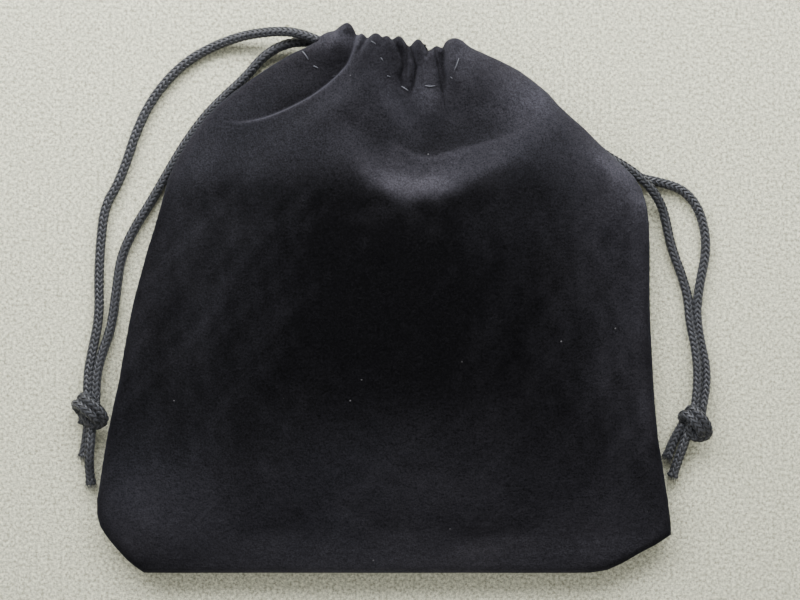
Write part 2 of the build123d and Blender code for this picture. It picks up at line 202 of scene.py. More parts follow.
def cord_material(name, light, dark, filaments=26.0):
    """Braided nylon: each yarn is a bundle of fine filaments that run along it."""
    material, tree, bsdf = new_material(name)
    link = tree.links.new
    uv = node(tree, "ShaderNodeUVMap", uv_map="yarn")
    split = node(tree, "ShaderNodeSeparateXYZ")
    link(uv.outputs["UV"], split.inputs["Vector"])
    lines = node(tree, "ShaderNodeMath", operation="MULTIPLY")
    lines.inputs[1].default_value = filaments
    link(split.outputs["Y"], lines.inputs[0])
    where = node(tree, "ShaderNodeTexCoord")
    fuzz = node(tree, "ShaderNodeTexNoise", Scale=3200.0, Detail=2.0)
    link(where.outputs["Object"], fuzz.inputs["Vector"])
    wobble = node(tree, "ShaderNodeMath", operation="ADD")
    link(lines.outputs[0], wobble.inputs[0])
    link(fuzz.outputs["Fac"], wobble.inputs[1])
    wave = node(tree, "ShaderNodeMath", operation="SINE")
    link(wobble.outputs[0], wave.inputs[0])
    shade = node(tree, "ShaderNodeMapRange")
    shade.inputs["From Min"].default_value = -1.0
    shade.inputs["From Max"].default_value = 1.0
    link(wave.outputs[0], shade.inputs["Value"])
    variation = node(tree, "ShaderNodeTexNoise", Scale=900.0, Detail=2.0)
    link(where.outputs["Object"], variation.inputs["Vector"])
    blend = node(tree, "ShaderNodeMath", operation="MULTIPLY")
    link(shade.outputs["Result"], blend.inputs[0])
    link(variation.outputs["Fac"], blend.inputs[1])
    colour = node(tree, "ShaderNodeMix", data_type="RGBA")
    colour.inputs["A"].default_value = (*dark, 1)
    colour.inputs["B"].default_value = (*light, 1)
    link(blend.outputs[0], colour.inputs["Factor"])
    # painted shade: yarns are paler where they stand proud, and painted near black in the gaps between them
    proud = node(tree, "ShaderNodeAttribute", attribute_name="proud")
    lift = node(tree, "ShaderNodeVectorMath", operation="SCALE")
    link(colour.outputs["Result"], lift.inputs[0])
    link(proud.outputs["Fac"], lift.inputs["Scale"])
    link(lift.outputs["Vector"], bsdf.inputs["Base Color"])
    bsdf.inputs["Roughness"].default_value = 0.48
    bsdf.inputs["Specular IOR Level"].default_value = 0.4
    bsdf.inputs["Sheen Weight"].default_value = 0.15
    bsdf.inputs["Sheen Roughness"].default_value = 0.4
    bump = node(tree, "ShaderNodeBump", Strength=0.35, Distance=0.00008)
    link(shade.outputs["Result"], bump.inputs["Height"])
    link(bump.outputs["Normal"], bsdf.inputs["Normal"])
    return material


def thread_material(name, colour):
    material, tree, bsdf = new_material(name)
    link = tree.links.new
    where = node(tree, "ShaderNodeTexCoord")
    ply = node(tree, "ShaderNodeTexNoise", Scale=5200.0, Detail=2.0)
    link(where.outputs["Object"], ply.inputs["Vector"])
    mix = node(tree, "ShaderNodeMix", data_type="RGBA")
    mix.inputs["A"].default_value = (*[c * 0.55 for c in colour], 1)
    mix.inputs["B"].default_value = (*colour, 1)
    link(ply.outputs["Fac"], mix.inputs["Factor"])
    link(mix.outputs["Result"], bsdf.inputs["Base Color"])
    bsdf.inputs["Roughness"].default_value = 0.55
    bump = node(tree, "ShaderNodeBump", Strength=0.4, Distance=0.00005)
    link(ply.outputs["Fac"], bump.inputs["Height"])
    link(bump.outputs["Normal"], bsdf.inputs["Normal"])
    return material


VELVET = velvet_material()
CORD = cord_material("braided_cord", (0.082, 0.087, 0.100), (0.008, 0.009, 0.011))
CORE = thread_material("cord_core", (0.006, 0.006, 0.007))
THREAD = thread_material("grey_thread", (0.12, 0.125, 0.145))
DARK_THREAD = thread_material("dark_thread", (0.05, 0.05, 0.06))


# =====================================================================
# mesh helpers
# =====================================================================
def mesh_object(name, vertices, faces, materials, smooth=True):
    data = bpy.data.meshes.new(name)
    data.from_pydata([tuple(v) for v in np.asarray(vertices) * MM], [], faces)
    data.update()
    for m in materials:
        data.materials.append(m)
    if smooth:
        data.polygons.foreach_set("use_smooth", np.ones(len(data.polygons), bool))
    obj = bpy.data.objects.new(name, data)
    bpy.context.scene.collection.objects.link(obj)
    return obj


def spline_line(points, step=0.36):
    """Points along the smooth curve that a route's points control, in mm."""
    data = bpy.data.curves.new("line", "CURVE")
    data.dimensions = "3D"
    data.resolution_u = 24
    spline = data.splines.new("NURBS")
    spline.points.add(len(points) - 1)
    for p, q in zip(spline.points, points):
        p.co = (q[0] * MM, q[1] * MM, q[2] * MM, 1)
    spline.order_u = 3
    spline.use_endpoint_u = True
    obj = bpy.data.objects.new("line", data)
    bpy.context.scene.collection.objects.link(obj)
    bpy.context.view_layer.update()
    mesh = bpy.data.meshes.new_from_object(obj)
    line = np.array([v.co for v in mesh.vertices], float) / MM
    bpy.data.meshes.remove(mesh)
    bpy.data.objects.remove(obj)
    bpy.data.curves.remove(data)
    along = np.concatenate([[0], np.cumsum(np.linalg.norm(np.diff(line, axis=0), axis=1))])
    count = max(4, int(round(along[-1] / step)) + 1)
    s = np.linspace(0, along[-1], count)
    return np.stack([np.interp(s, along, line[:, i]) for i in range(3)], 1), s


def frames_along(line):
    """Tangent and two normals at each point, without twist."""
    tangent = np.gradient(line, axis=0)
    tangent /= np.linalg.norm(tangent, axis=1)[:, None]
    up = np.array([0.0, 0.0, 1.0])
    if abs(tangent[0] @ up) > 0.9:
        up = np.array([0.0, 1.0, 0.0])
    n = up - (up @ tangent[0]) * tangent[0]
    n /= np.linalg.norm(n)
    normals = [n]
    for a, b in zip(tangent, tangent[1:]):
        axis = np.cross(a, b)
        size = np.linalg.norm(axis)
        n = normals[-1]
        if size > 1e-9:
            axis /= size
            angle = math.atan2(size, float(a @ b))
            n = (
                n * math.cos(angle)
                + np.cross(axis, n) * math.sin(angle)
                + axis * (axis @ n) * (1 - math.cos(angle))
            )
        n = n - (n @ b) * b
        normals.append(n / np.linalg.norm(n))
    normals = np.array(normals)
    return tangent, normals, np.cross(tangent, normals)


CARRIERS = 8  # yarns each way round
BRAID_PITCH = 11.5  # length over which a yarn goes once round the cord


def braid_parts(points, start_phase=0.0, flare_end=0.0, radius=YARN_R, step=0.36):
    """A round braid of 8 + 8 yarns, two over and two under, round a core."""
    line, s = spline_line(points, step)
    tangent, n1, n2 = frames_along(line)
    count = len(line)
    vertices, faces, uvs, proud, slots = [], [], [], [], []
    sides = 6
    k = radius / 1.5
    base = 0
    end_from = s[-1] - s
    flare = 1 + flare_end * np.clip(1 - end_from / 1.7, 0, 1) ** 1.5
    for way in (1, -1):
        for i in range(CARRIERS):
            theta = (
                2 * math.pi * i / CARRIERS
                + way * 2 * math.pi * s / BRAID_PITCH
                + start_phase
                + (0 if way == 1 else math.pi / 4 - 2 * start_phase + 2 * start_phase)
            )
            rel = theta - start_phase
            over = way * np.tanh(2.2 * np.sin(4 * rel))
            r = (1.03 + 0.15 * over) * k * flare
            direction = n1 * np.cos(theta)[:, None] + n2 * np.sin(theta)[:, None]
            centre = line + direction * r[:, None]
            along = np.gradient(centre, axis=0)
            along /= np.linalg.norm(along, axis=1)[:, None]
            side = np.cross(along, direction)
            side /= np.linalg.norm(side, axis=1)[:, None]
            out = np.cross(side, along)
            ring = []
            for j in range(sides):
                a = 2 * math.pi * j / sides
                ring.append(
                    centre
                    + side * (0.43 * k * math.cos(a))
                    + out * (0.31 * k * math.sin(a))
                )
            ring = np.stack(ring, 1).reshape(-1, 3)
            vertices.append(ring)
            # painted shade in the braid: yarns passing under others, and each yarn's side towards the core, get
            # a darker colour
            light = np.repeat(0.10 + 1.15 * (over + 1) / 2, sides)
            lift = np.tile(
                [0.10 + 0.90 * max(0.0, math.sin(2 * math.pi * j / sides)) for j in range(sides)],
                count,
            )
            proud.append(light * lift)
            for m in range(count - 1):
                for j in range(sides):
                    a, b = base + m * sides + j, base + m * sides + (j + 1) % sides
                    faces.append((a, b, b + sides, a + sides))
                    u0, u1 = s[m], s[m + 1]
                    v0, v1 = j / sides, (j + 1) / sides
                    uvs.extend([(u0, v0), (u0, v1), (u1, v1), (u1, v0)])
                    slots.append(0)
            for m in (0, count - 1):
                cap = [base + m * sides + j for j in range(sides)]
                faces.append(tuple(cap[::-1] if m == 0 else cap))
                uvs.extend([(s[m], 0.5)] * sides)
                slots.append(0)
            base += count * sides
    # the core
    sides = 8
    ring = []
    for j in range(sides):
        a = 2 * math.pi * j / sides
        ring.append(line + (n1 * math.cos(a) + n2 * math.sin(a)) * 0.92 * k)
    vertices.append(np.stack(ring, 1).reshape(-1, 3))
    proud.append(np.full(count * sides, 0.1))
    for m in range(count - 1):
        for j in range(sides):
            a, b = base + m * sides + j, base + m * sides + (j + 1) % sides
            faces.append((a, b, b + sides, a + sides))
            uvs.extend([(0, 0)] * 4)
            slots.append(1)
    for m in (0, count - 1):
        cap = [base + m * sides + j for j in range(sides)]
        faces.append(tuple(cap[::-1] if m == 0 else cap))
        uvs.extend([(0, 0)] * sides)
        slots.append(1)
    return np.concatenate(vertices), faces, uvs, np.concatenate(proud), slots, line, s


def fray_parts(tip, heading, count=70, length=(0.7, 2.4), spread=0.55):
    """Loose filaments at a cut end."""
    heading = np.array(heading, float)
    heading /= np.linalg.norm(heading)
    a = np.cross(heading, [0, 0, 1.0])
    a /= np.linalg.norm(a)
    b = np.cross(heading, a)
    vertices, faces, base = [], [], 0
    for _ in range(count):
        ang, rad = random.uniform(0, 2 * math.pi), 1.35 * math.sqrt(random.random())
        start = np.array(tip) + (a * math.cos(ang) + b * math.sin(ang)) * rad - heading * 0.5
        go = heading + (a * math.cos(ang) + b * math.sin(ang)) * random.uniform(0, spread) * rad
        go /= np.linalg.norm(go)
        bend = (a * random.uniform(-1, 1) + b * random.uniform(-1, 1)) * 0.35
        size, r = random.uniform(*length), random.uniform(0.035, 0.06)
        pts = [start + go * size * f + bend * size * f * f for f in (0, 0.35, 0.7, 1)]
        for p, w in zip(pts, (1, 1, 0.85, 0.4)):
            p = np.array(p)
            p[2] = max(p[2], 0.12)
            for j in range(3):
                t = 2 * math.pi * j / 3
                vertices.append(p + (a * math.cos(t) + b * math.sin(t)) * r * w)
        for m in range(3):
            for j in range(3):
                c, d = base + m * 3 + j, base + m * 3 + (j + 1) % 3
                faces.append((c, d, d + 3, c + 3))
        faces.append((base + 2, base + 1, base))
        faces.append((base + 9, base + 10, base + 11))
        base += 12
    return np.array(vertices), faces


def braid_object(name, routes, frays=(), radius=YARN_R):
    """One or more braided lengths, and their frayed ends, as one mesh."""
    vs, fs, us, ps, ss = [], [], [], [], []
    base, line = 0, None
    for n, (points, phase, flare) in enumerate(routes):
        v, f, u, p, s, found, _ = braid_parts(points, phase, flare, radius)
        vs.append(v)
        fs.extend([tuple(i + base for i in face) for face in f])
        us.extend(u)
        ps.append(p)
        ss.extend(s)
        base += len(v)
        if n == 0:
            line = found
    for tip, heading in frays:
        v, f = fray_parts(tip, heading)
        vs.append(v)
        for face in f:
            fs.append(tuple(i + base for i in face))
            us.extend([(0, 0.3)] * len(face))
            ss.append(0)
        ps.append(np.full(len(v), 0.9))
        base += len(v)
    obj = mesh_object(name, np.concatenate(vs), fs, [CORD, CORE])
    data = obj.data
    data.polygons.foreach_set("material_index", np.array(ss, np.int32))
    layer = data.uv_layers.new(name="yarn")
    layer.data.foreach_set("uv", np.array(us, np.float32).ravel())
    data.attributes.new("proud", "FLOAT", "POINT").data.foreach_set(
        "value", np.concatenate(ps).astype(np.float32)
    )
    return obj, line


# =====================================================================
# the drawstrings
# =====================================================================
left_outer = [
    (-9.0, 68.58, 6.2), (-13.98, 70.11, 6.2), (-18.41, 71.19, 6.4), (-22.55, 72.82, 6.6),
    (-27.57, 73.88, 6.0), (-34.07, 73.69, 4.5), (-40.91, 72.71, 2.6),
    (-48.28, 70.08, 1.5), (-55.0, 66.3, 1.5), (-61.15, 60.57, 1.5), (-66.18, 53.57, 1.5),
    (-69.82, 45.46, 1.5), (-71.78, 39.03, 1.5), (-74.58, 31.75, 1.5),
    (-78.21, 25.6, 1.5), (-79.33, 17.21, 1.5), (-80.03, 5.18, 1.5), (-79.75, -5.17, 1.5),
    (-81.8, -15.23, 1.8), (-82.92, -21.91, 2.6), (-82.78, -27.72, 3.4),
]
left_inner = [
    (-9.09, 68.23, 2.7), (-14.11, 69.91, 2.7), (-18.85, 70.99, 2.9),
    (-24.13, 71.37, 3.2), (-29.45, 70.17, 2.8), (-34.52, 66.77, 2.2),
    (-38.76, 61.67, 1.6), (-44.37, 56.65, 1.5), (-50.24, 50.77, 1.5),
    (-56.11, 42.66, 1.5), (-60.87, 34.55, 1.5), (-65.34, 26.72, 1.5),
    (-69.82, 19.73, 1.5), (-73.74, 11.61, 1.5), (-75.0, 2.1, 1.5), (-76.38, -8.52, 1.6),
    (-79.43, -17.16, 2.6), (-80.41, -22.99, 3.4), (-80.48, -27.7, 3.8),
]
right_outer = [
    (12.62, 65.79, 6.4), (18.16, 67.18, 6.3), (23.15, 66.37, 6.2), (28.42, 64.72, 6.1),
    (33.72, 62.29, 5.6), (39.43, 59.52, 3.2), (44.85, 54.39, 1.7), (49.9, 49.1, 1.5),
    (56.05, 44.34, 1.5), (63.61, 37.91, 1.5), (70.88, 33.43, 1.5), (77.59, 32.17, 1.5),
    (83.75, 30.08, 1.5), (87.8, 25.04, 1.5), (89.62, 18.61, 1.5), (89.9, 12.17, 1.5),
    (88.08, 3.78, 1.5), (87.1, -4.33, 1.5), (88.21, -12.16, 1.6), (89.83, -19.14, 1.9),
    (89.68, -25.8, 2.8), (88.46, -30.79, 3.4),
]
right_inner = [
    (12.68, 65.44, 2.7), (18.82, 66.84, 2.7), (23.84, 66.82, 2.8), (29.12, 65.66, 3.2),
    (34.42, 62.74, 3.1), (39.49, 57.68, 2.3), (44.83, 52.68, 2.0), (49.8, 48.43, 2.6),
    (55.82, 43.86, 3.8), (61.86, 39.35, 4.5), (66.01, 36.97, 4.7), (69.9, 34.33, 4.7),
    (73.12, 31.56, 4.5), (75.78, 28.29, 3.4), (77.63, 25.0, 2.2), (78.7, 21.12, 1.6),
    (79.55, 16.65, 1.5), (80.95, 11.89, 1.5), (83.05, 6.3, 1.5), (84.87, 0.15, 1.5),
    (85.21, -6.56, 2.0), (87.01, -14.92, 2.9), (87.49, -24.38, 3.4),
    (86.45, -30.77, 3.8),
]

# The doubled overhand knot: the middle line of the pair of cords, and the
# direction in which they lie side by side.
KNOT = [
    ((0.0, 7.0, 3.0), (1, 0, 0)),
    ((0.0, 4.2, 3.5), (1, 0, 0)),
    ((-0.2, 1.2, 3.8), (1, 0.05, 0)),
    ((-0.1, -1.9, 3.5), (0.9, 0.3, 0)),
    ((2.2, -3.7, 3.4), (0.25, 0.95, 0)),
    ((4.3, -2.3, 4.7), (-0.8, -0.1, 0.35)),
    ((2.5, -0.3, 6.3), (-0.5, -0.86, 0)),
    ((-1.0, 1.5, 6.5), (-0.48, -0.87, 0)),
    ((-3.6, 2.5, 4.9), (-0.46, -0.88, 0)),
    ((-4.3, 1.3, 2.7), (-0.46, -0.88, 0)),
    ((-2.4, -0.2, 1.5), (-0.52, -0.85, 0)),
    ((-0.2, -2.2, 1.5), (-0.85, -0.5, 0)),
    ((0.0, -5.0, 2.0), (-1, 0, 0)),
]


def knot_routes(centre, turn, squeeze=1.0, lean_top=0.0, lean_tail=0.0):
    c, s = math.cos(turn), math.sin(turn)
    routes = []
    for way in (1, -1):
        points = []
        for n, (p, side) in enumerate(KNOT):
            d = np.array(side, float)
            d /= np.linalg.norm(d)
            q = np.array(p, float) + d * 1.36 * way
            if n <= 1:
                q[0] += lean_top * (2 - n)
            if n >= 11:
                q[0] += lean_tail * (n - 10)
            q[0] *= squeeze
            q[1] *= squeeze
            points.append(
                (
                    centre[0] + q[0] * c - q[1] * s,
                    centre[1] + q[0] * s + q[1] * c,
                    max(q[2], 1.42),
                )
            )
        routes.append(points)
    return routes


def tail(points, name, phase):
    end, before = np.array(points[-1]), np.array(points[-2])
    obj, line = braid_object(
        name, [(points, phase, 0.28)], frays=[(end, end - before)]
    )
    return obj


def lay_drawstring(side, outer, inner, knot_at, turn, squeeze, tails, lean_top, lean_tail):
    body = side + "_drawstring"
    routes = knot_routes(knot_at, turn, squeeze, lean_top, lean_tail)
    # each loop begins where one of the two strands ends
    ends = sorted((outer, inner), key=lambda line: -line[-1][0])
    for points, strand in zip(routes, ends):
        a, b = np.array(strand[-2], float), np.array(strand[-1], float)
        points[:2] = [tuple(b + (a - b) / np.linalg.norm(a - b) * 0.6), tuple(b)]
    knot, _ = braid_object(
        side + "_overhand_knot", [(routes[0], 0.3, 0.0), (routes[1], 1.1, 0.0)]
    )
    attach(knot, body)
    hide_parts(side + "_knot")
    made = []
    for name, points in zip(("long", "short"), tails):
        piece = tail(points, f"{side}_{name}_cut_tail", 0.7 if name == "long" else 1.6)
        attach(piece, body)
        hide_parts(f"{side}_{name}_tail")
        made.append(piece)
    for name, points, z, lead in (
        ("outer", outer, outer[0][2], made[0]),
        ("inner", inner, inner[0][2], made[1]),
    ):
        obj, line = braid_object(
            f"{side}_{name}_cord", [(points, 0.2 if name == "outer" else 0.9, 0.0)]
        )
        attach(obj, body)
        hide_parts(f"{side}_{name}_strand")
        length = float(np.linalg.norm(np.diff(line, axis=0), axis=1).sum())
        print("cord", side, name, round(length, 1), "mm")


lay_drawstring(
    "left",
    left_outer,
    left_inner,
    [(-81.94, -31.27, 0.0)][0][:2],
    math.radians(-13),
    0.92,
    [
        [
    (-81.83, -35.04, 2.4), (-81.87, -39.68, 3.8), (-82.36, -44.72, 3.4),
    (-82.5, -48.78, 1.8), (-82.13, -52.16, 1.5),
],
        [
    (-82.92, -35.08, 1.8), (-83.3, -38.74, 1.5), (-83.81, -41.81, 1.5),
    (-84.25, -44.33, 1.5),
],
    ],
    0.35,
    -0.2,
)
lay_drawstring(
    "right",
    right_outer,
    right_inner,
    [(86.65, -34.78, 0.0)][0][:2],
    math.radians(-24),
    0.86,
    [
        [
    (84.86, -36.99, 2.4), (83.54, -40.87, 2.8), (81.99, -45.41, 2.0),
    (80.53, -49.93, 1.5),
],
        [
    (83.39, -35.35, 2.0), (81.74, -38.15, 1.8), (80.1, -41.53, 1.6),
    (78.99, -44.61, 1.5),
],
    ],
    0.2,
    -0.4,
)

# the lengths of cord inside the casings, each on from the end of its strand
strands = {
    "left": (left_inner, left_outer),
    "right": (right_inner, right_outer),
}
back_lane = {
    "left": [
        (-4.0, 66.9, 2.6), (2.0, 66.6, 2.5), (6.4, 66.6, 2.8), (8.8, 66.6, 3.6), (9.8, 66.6, 5.2),
        (8.4, 66.5, 7.4), (5.4, 66.4, 7.9),
    ],
    "right": [
        (8.0, 63.7, 2.6), (-2.0, 63.2, 2.5), (-10.0, 63.2, 2.5), (-13.6, 63.2, 2.8), (-15.0, 63.2, 5.2),
        (-13.6, 63.2, 7.6), (-9.6, 63.0, 7.9),
    ],
}
front_lane = {
    "left": [(-4.0, 66.9, 7.2), (0.0, 66.2, 7.9), (5.0, 66.4, 7.9)],
    "right": [(8.0, 63.4, 7.2), (4.0, 62.6, 7.9), (-2.0, 62.5, 7.9), (-9.2, 62.8, 7.9)],
}
for side, (inner, outer) in strands.items():
    obj, _ = braid_object(f"{side}_cord_in_back_casing", [([inner[0]] + back_lane[side], 0.5, 0.0)])
    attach(obj, side + "_drawstring")
    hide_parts(side + "_back_run")
    obj, _ = braid_object(f"{side}_cord_in_front_casing", [([outer[0]] + front_lane[side], 0.5, 0.0)])
    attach(obj, side + "_front_cord")
    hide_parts(side + "_front_run")

# =====================================================================
# the bag's outline, in mm: left and right edges from the bottom fold up to
# the ends of the mouth, and the gathered top edge between them
# =====================================================================
LEFT = [
    (-66.95, -76.82), (-69.17, -75.15), (-71.4, -73.34), (-74.46, -69.99),
    (-77.24, -66.51), (-79.04, -63.59), (-79.87, -60.24), (-79.86, -56.34),
    (-79.3, -53.0), (-78.32, -46.32), (-76.91, -37.96), (-75.23, -29.62),
    (-73.69, -22.94), (-72.43, -15.15), (-71.02, -7.37), (-69.48, -0.14), (-67.67, 6.53),
    (-65.85, 13.2), (-63.76, 19.86), (-61.67, 27.08), (-60.2, 32.6), (-58.33, 37.0),
    (-54.64, 43.31), (-52.11, 46.87), (-49.3, 50.15), (-46.22, 53.42), (-41.76, 56.96),
    (-37.04, 60.36), (-31.49, 64.02), (-25.92, 67.18), (-21.75, 68.98), (-19.26, 70.13),
    (-18.15, 70.93),
]
RIGHT = [
    (57.19, -76.82), (61.92, -75.98), (66.65, -73.76), (71.1, -71.11), (75.55, -68.74),
    (79.72, -65.95), (79.58, -63.03), (79.16, -59.68), (78.74, -56.34), (78.17, -53.0),
    (77.19, -46.32), (76.07, -39.63), (75.22, -31.29), (74.65, -22.94), (74.23, -15.15),
    (73.8, -6.25), (73.65, 0.42), (73.64, 7.09), (73.63, 13.75), (73.34, 20.42),
    (72.64, 25.42), (71.21, 29.84), (68.94, 33.42), (65.56, 36.72), (61.91, 40.02),
    (58.55, 43.31), (55.19, 46.73), (51.28, 50.15), (47.93, 53.42), (45.41, 56.41),
    (41.8, 59.41), (37.36, 62.66), (31.83, 65.37), (27.67, 67.05), (24.34, 68.59),
]
MOUTH = [
    (-18.13, 70.86), (-17.72, 71.81), (-16.76, 72.5), (-15.39, 73.07), (-13.75, 73.4),
    (-12.66, 74.14), (-11.56, 74.93), (-10.47, 75.42), (-9.37, 75.1), (-8.55, 74.14),
    (-8.01, 72.91), (-7.46, 72.09), (-6.91, 72.03), (-6.36, 72.36), (-5.54, 71.95),
    (-4.72, 71.21), (-3.9, 71.65), (-2.81, 72.28), (-1.71, 72.25), (-0.62, 71.54),
    (-0.07, 71.59), (0.75, 71.7), (1.43, 71.38), (2.12, 70.94), (2.94, 71.27),
    (3.76, 71.57), (4.58, 71.38), (5.4, 70.55), (6.22, 69.46), (7.04, 69.08),
    (7.73, 69.73), (8.55, 70.44), (9.37, 70.66), (10.33, 70.06), (11.15, 68.53),
    (11.97, 67.87), (12.79, 68.15), (13.61, 68.75), (14.43, 68.91), (15.25, 68.58),
    (15.93, 68.58), (16.62, 69.79), (17.58, 70.5), (18.81, 70.88), (20.18, 70.77),
    (21.54, 70.28), (22.91, 69.19), (24.28, 68.39),
]

# =====================================================================
# height of the velvet at points over the neck, mm (x, y, height)
# =====================================================================
NECK = [
    (-41.79, 56.99, 8.2), (-46.24, 53.45, 7.8), (-52.09, 46.85, 7.4),
    (-37.06, 60.39, 8.6), (-31.5, 64.04, 9.2), (-25.95, 67.24, 9.9),
    (-21.78, 69.04, 10.8), (-18.17, 70.85, 11.6), (-43.96, 52.26, 8.6),
    (-39.23, 53.87, 9.0), (-33.67, 58.75, 9.6), (-33.1, 53.77, 9.9),
    (-27.31, 62.53, 10.2), (-27.01, 56.99, 10.6), (-23.15, 65.2, 10.8),
    (-21.51, 58.63, 10.6), (-19.04, 64.68, 10.6), (-17.08, 67.86, 11.4),
    (-16.04, 61.98, 10.2), (-13.8, 65.15, 11.2), (-14.84, 70.98, 12.6),
    (-12.1, 69.31, 12.8), (-10.46, 74.23, 12.8), (-13.21, 72.92, 12.4),
    (-16.51, 71.61, 12.0), (-12.18, 64.7, 10.4), (-11.04, 67.29, 11.6),
    (-14.91, 58.61, 10.8), (-19.85, 54.74, 11.0), (-26.44, 52.57, 10.8),
    (-34.73, 50.44, 10.2), (-43.05, 48.87, 9.4), (-50.85, 40.67, 8.6),
    (-56.34, 32.39, 8.8), (-7.74, 71.55, 12.4), (-6.07, 70.86, 13.4),
    (-6.61, 66.98, 13.8), (-7.15, 62.04, 14.0), (-8.78, 56.57, 14.2),
    (-11.5, 52.71, 14.6), (-16.94, 49.42, 14.8), (-22.96, 46.75, 14.2),
    (-31.23, 43.59, 13.0), (-39.59, 42.1, 11.2), (-46.55, 40.54, 10.2),
    (-5.24, 51.14, 13.9), (-8.8, 47.35, 13.6), (-4.98, 44.11, 13.2),
    (-0.07, 40.89, 12.6), (-13.13, 45.07, 14.7), (-14.73, 40.11, 15.4),
    (-20.18, 40.11, 15.3), (-27.03, 36.09, 14.6), (-36.68, 33.46, 13.2),
    (-47.8, 30.84, 11.4), (-2.24, 71.35, 13.8), (-2.79, 64.77, 14.0),
    (-1.7, 57.68, 14.0), (0.49, 51.7, 13.8), (3.76, 46.88, 12.9), (7.59, 43.42, 11.8),
    (0.48, 70.29, 13.6), (1.02, 64.99, 12.4), (2.11, 59.11, 11.2), (3.76, 54.19, 11.0),
    (6.5, 49.25, 11.0), (9.8, 45.74, 10.4), (13.38, 43.31, 9.9), (16.95, 43.85, 10.1),
    (11.44, 41.03, 10.9), (15.56, 40.75, 11.0), (7.04, 41.48, 12.0),
    (19.67, 41.55, 11.2), (4.31, 70.29, 13.6), (4.31, 66.11, 12.2), (5.4, 60.26, 10.8),
    (6.5, 54.79, 10.6), (9.22, 69.74, 13.6), (10.31, 65.95, 13.4), (11.14, 60.55, 12.9),
    (12.25, 54.61, 12.2), (13.08, 50.33, 11.2), (8.7, 52.0, 11.0), (13.6, 67.64, 13.0),
    (14.71, 63.4, 12.0), (16.4, 57.01, 10.4), (17.78, 51.02, 9.9), (20.23, 46.53, 10.8),
    (18.75, 69.6, 14.6), (19.28, 65.21, 14.8), (20.39, 59.29, 14.2),
    (21.53, 53.97, 13.0), (23.47, 49.68, 12.2), (23.43, 67.61, 13.2),
    (25.05, 63.16, 13.8), (27.25, 58.3, 13.4), (28.92, 52.9, 12.8), (26.22, 46.41, 12.0),
    (31.77, 64.68, 10.6), (31.66, 60.58, 12.6), (33.83, 55.07, 13.0),
    (33.3, 49.64, 12.6), (37.33, 62.06, 9.6), (39.42, 56.37, 11.2), (40.47, 53.01, 11.8),
    (41.75, 59.05, 9.4), (45.35, 56.05, 9.2), (45.46, 51.98, 11.2), (47.83, 53.02, 9.2),
    (51.11, 49.69, 9.4), (54.93, 46.35, 9.8), (58.21, 42.76, 10.0), (61.53, 39.47, 9.8),
    (65.13, 36.19, 9.6), (49.75, 46.4, 12.2), (55.17, 41.42, 12.8), (60.66, 35.42, 12.6),
    (68.48, 32.91, 9.2), (70.77, 29.37, 8.6), (72.26, 24.99, 7.8), (-9.31, 41.25, 14.8),
    (-4.42, 38.05, 13.9), (1.03, 35.66, 13.0), (6.49, 34.33, 12.5), (11.97, 34.06, 12.4),
    (17.44, 35.69, 12.6), (22.9, 38.4, 12.9), (28.9, 41.39, 13.1), (34.92, 44.95, 13.0),
    (40.4, 48.25, 12.8), (-10.91, 36.81, 15.8), (-6.02, 33.01, 15.8),
    (-0.04, 29.75, 15.8), (5.94, 27.29, 15.9), (10.83, 27.02, 15.9),
    (16.81, 28.94, 15.7), (23.35, 31.95, 15.4), (30.44, 35.78, 15.0),
    (37.0, 39.63, 14.6), (43.02, 42.93, 14.2), (48.5, 40.22, 14.0), (56.2, 33.44, 13.4),
    (-1.12, 25.1, 16.3), (10.82, 22.65, 16.5), (23.31, 25.1, 16.2), (36.95, 30.59, 15.4),
    (-11.99, 29.19, 16.0), (-22.89, 29.23, 15.4),
]

# fold lines
EAR_RIDGE = [
    (-7.46, 73.18), (-8.01, 69.9), (-8.69, 67.16), (-10.06, 64.15), (-12.93, 61.01),
    (-16.9, 57.59), (-20.87, 54.85), (-24.7, 52.8), (-28.53, 51.02), (-33.45, 49.24),
    (-39.47, 48.15), (-45.49, 48.28),
]
# upper edge of the crescent fold, below the hollow at the foot of the pleats
CRESCENT = [
    (-0.07, 44.18), (3.49, 42.13), (7.32, 40.07), (11.97, 38.57), (16.89, 39.66),
    (23.46, 41.31), (31.12, 43.49), (38.23, 46.78), (43.98, 50.74),
]
# grooves between the pleats: depth, half width, how much painted shade in the groove, line
GROOVES = [
    (0.8, 0.70, 0.32, [
    (-4.45, 71.4), (-5.41, 69.9), (-6.64, 67.71), (-7.73, 64.97),
]),
    (0.7, 0.55, 0.35, [(-0.62, 71.81), (-0.35, 70.44), (-0.07, 68.8)]),
    (1.0, 0.80, 0.38, [
    (2.25, 71.27), (3.49, 69.35), (4.85, 66.61), (5.13, 63.33), (4.31, 60.59),
    (4.85, 57.86), (7.04, 54.58),
]),
    (0.7, 0.50, 0.36, [
    (5.81, 69.9), (6.22, 66.61), (6.36, 62.78), (5.95, 59.5),
]),
    (1.1, 0.70, 0.34, [
    (7.04, 69.08), (7.86, 66.61), (8.82, 62.78), (8.27, 59.5), (7.32, 56.22),
    (7.04, 52.93),
]),
    (1.1, 0.60, 0.33, [(11.83, 68.26), (11.69, 66.61), (11.15, 64.97)]),
    (0.8, 0.55, 0.32, [
    (13.61, 68.53), (14.16, 65.52), (14.98, 61.14), (15.8, 56.76), (16.76, 52.39),
    (17.71, 49.1),
]),
    (1.2, 0.80, 0.40, [
    (16.21, 69.08), (16.21, 66.61), (16.07, 63.33), (16.62, 60.05), (17.17, 56.76),
]),
    (0.5, 3.20, 0.10, [
    (-9.92, 49.1), (-6.09, 45.55), (-1.71, 42.26), (3.21, 39.8),
]),
    (0.6, 2.60, 0.10, [
    (23.46, 61.69), (25.37, 57.31), (26.74, 52.93), (26.19, 48.56),
]),
]
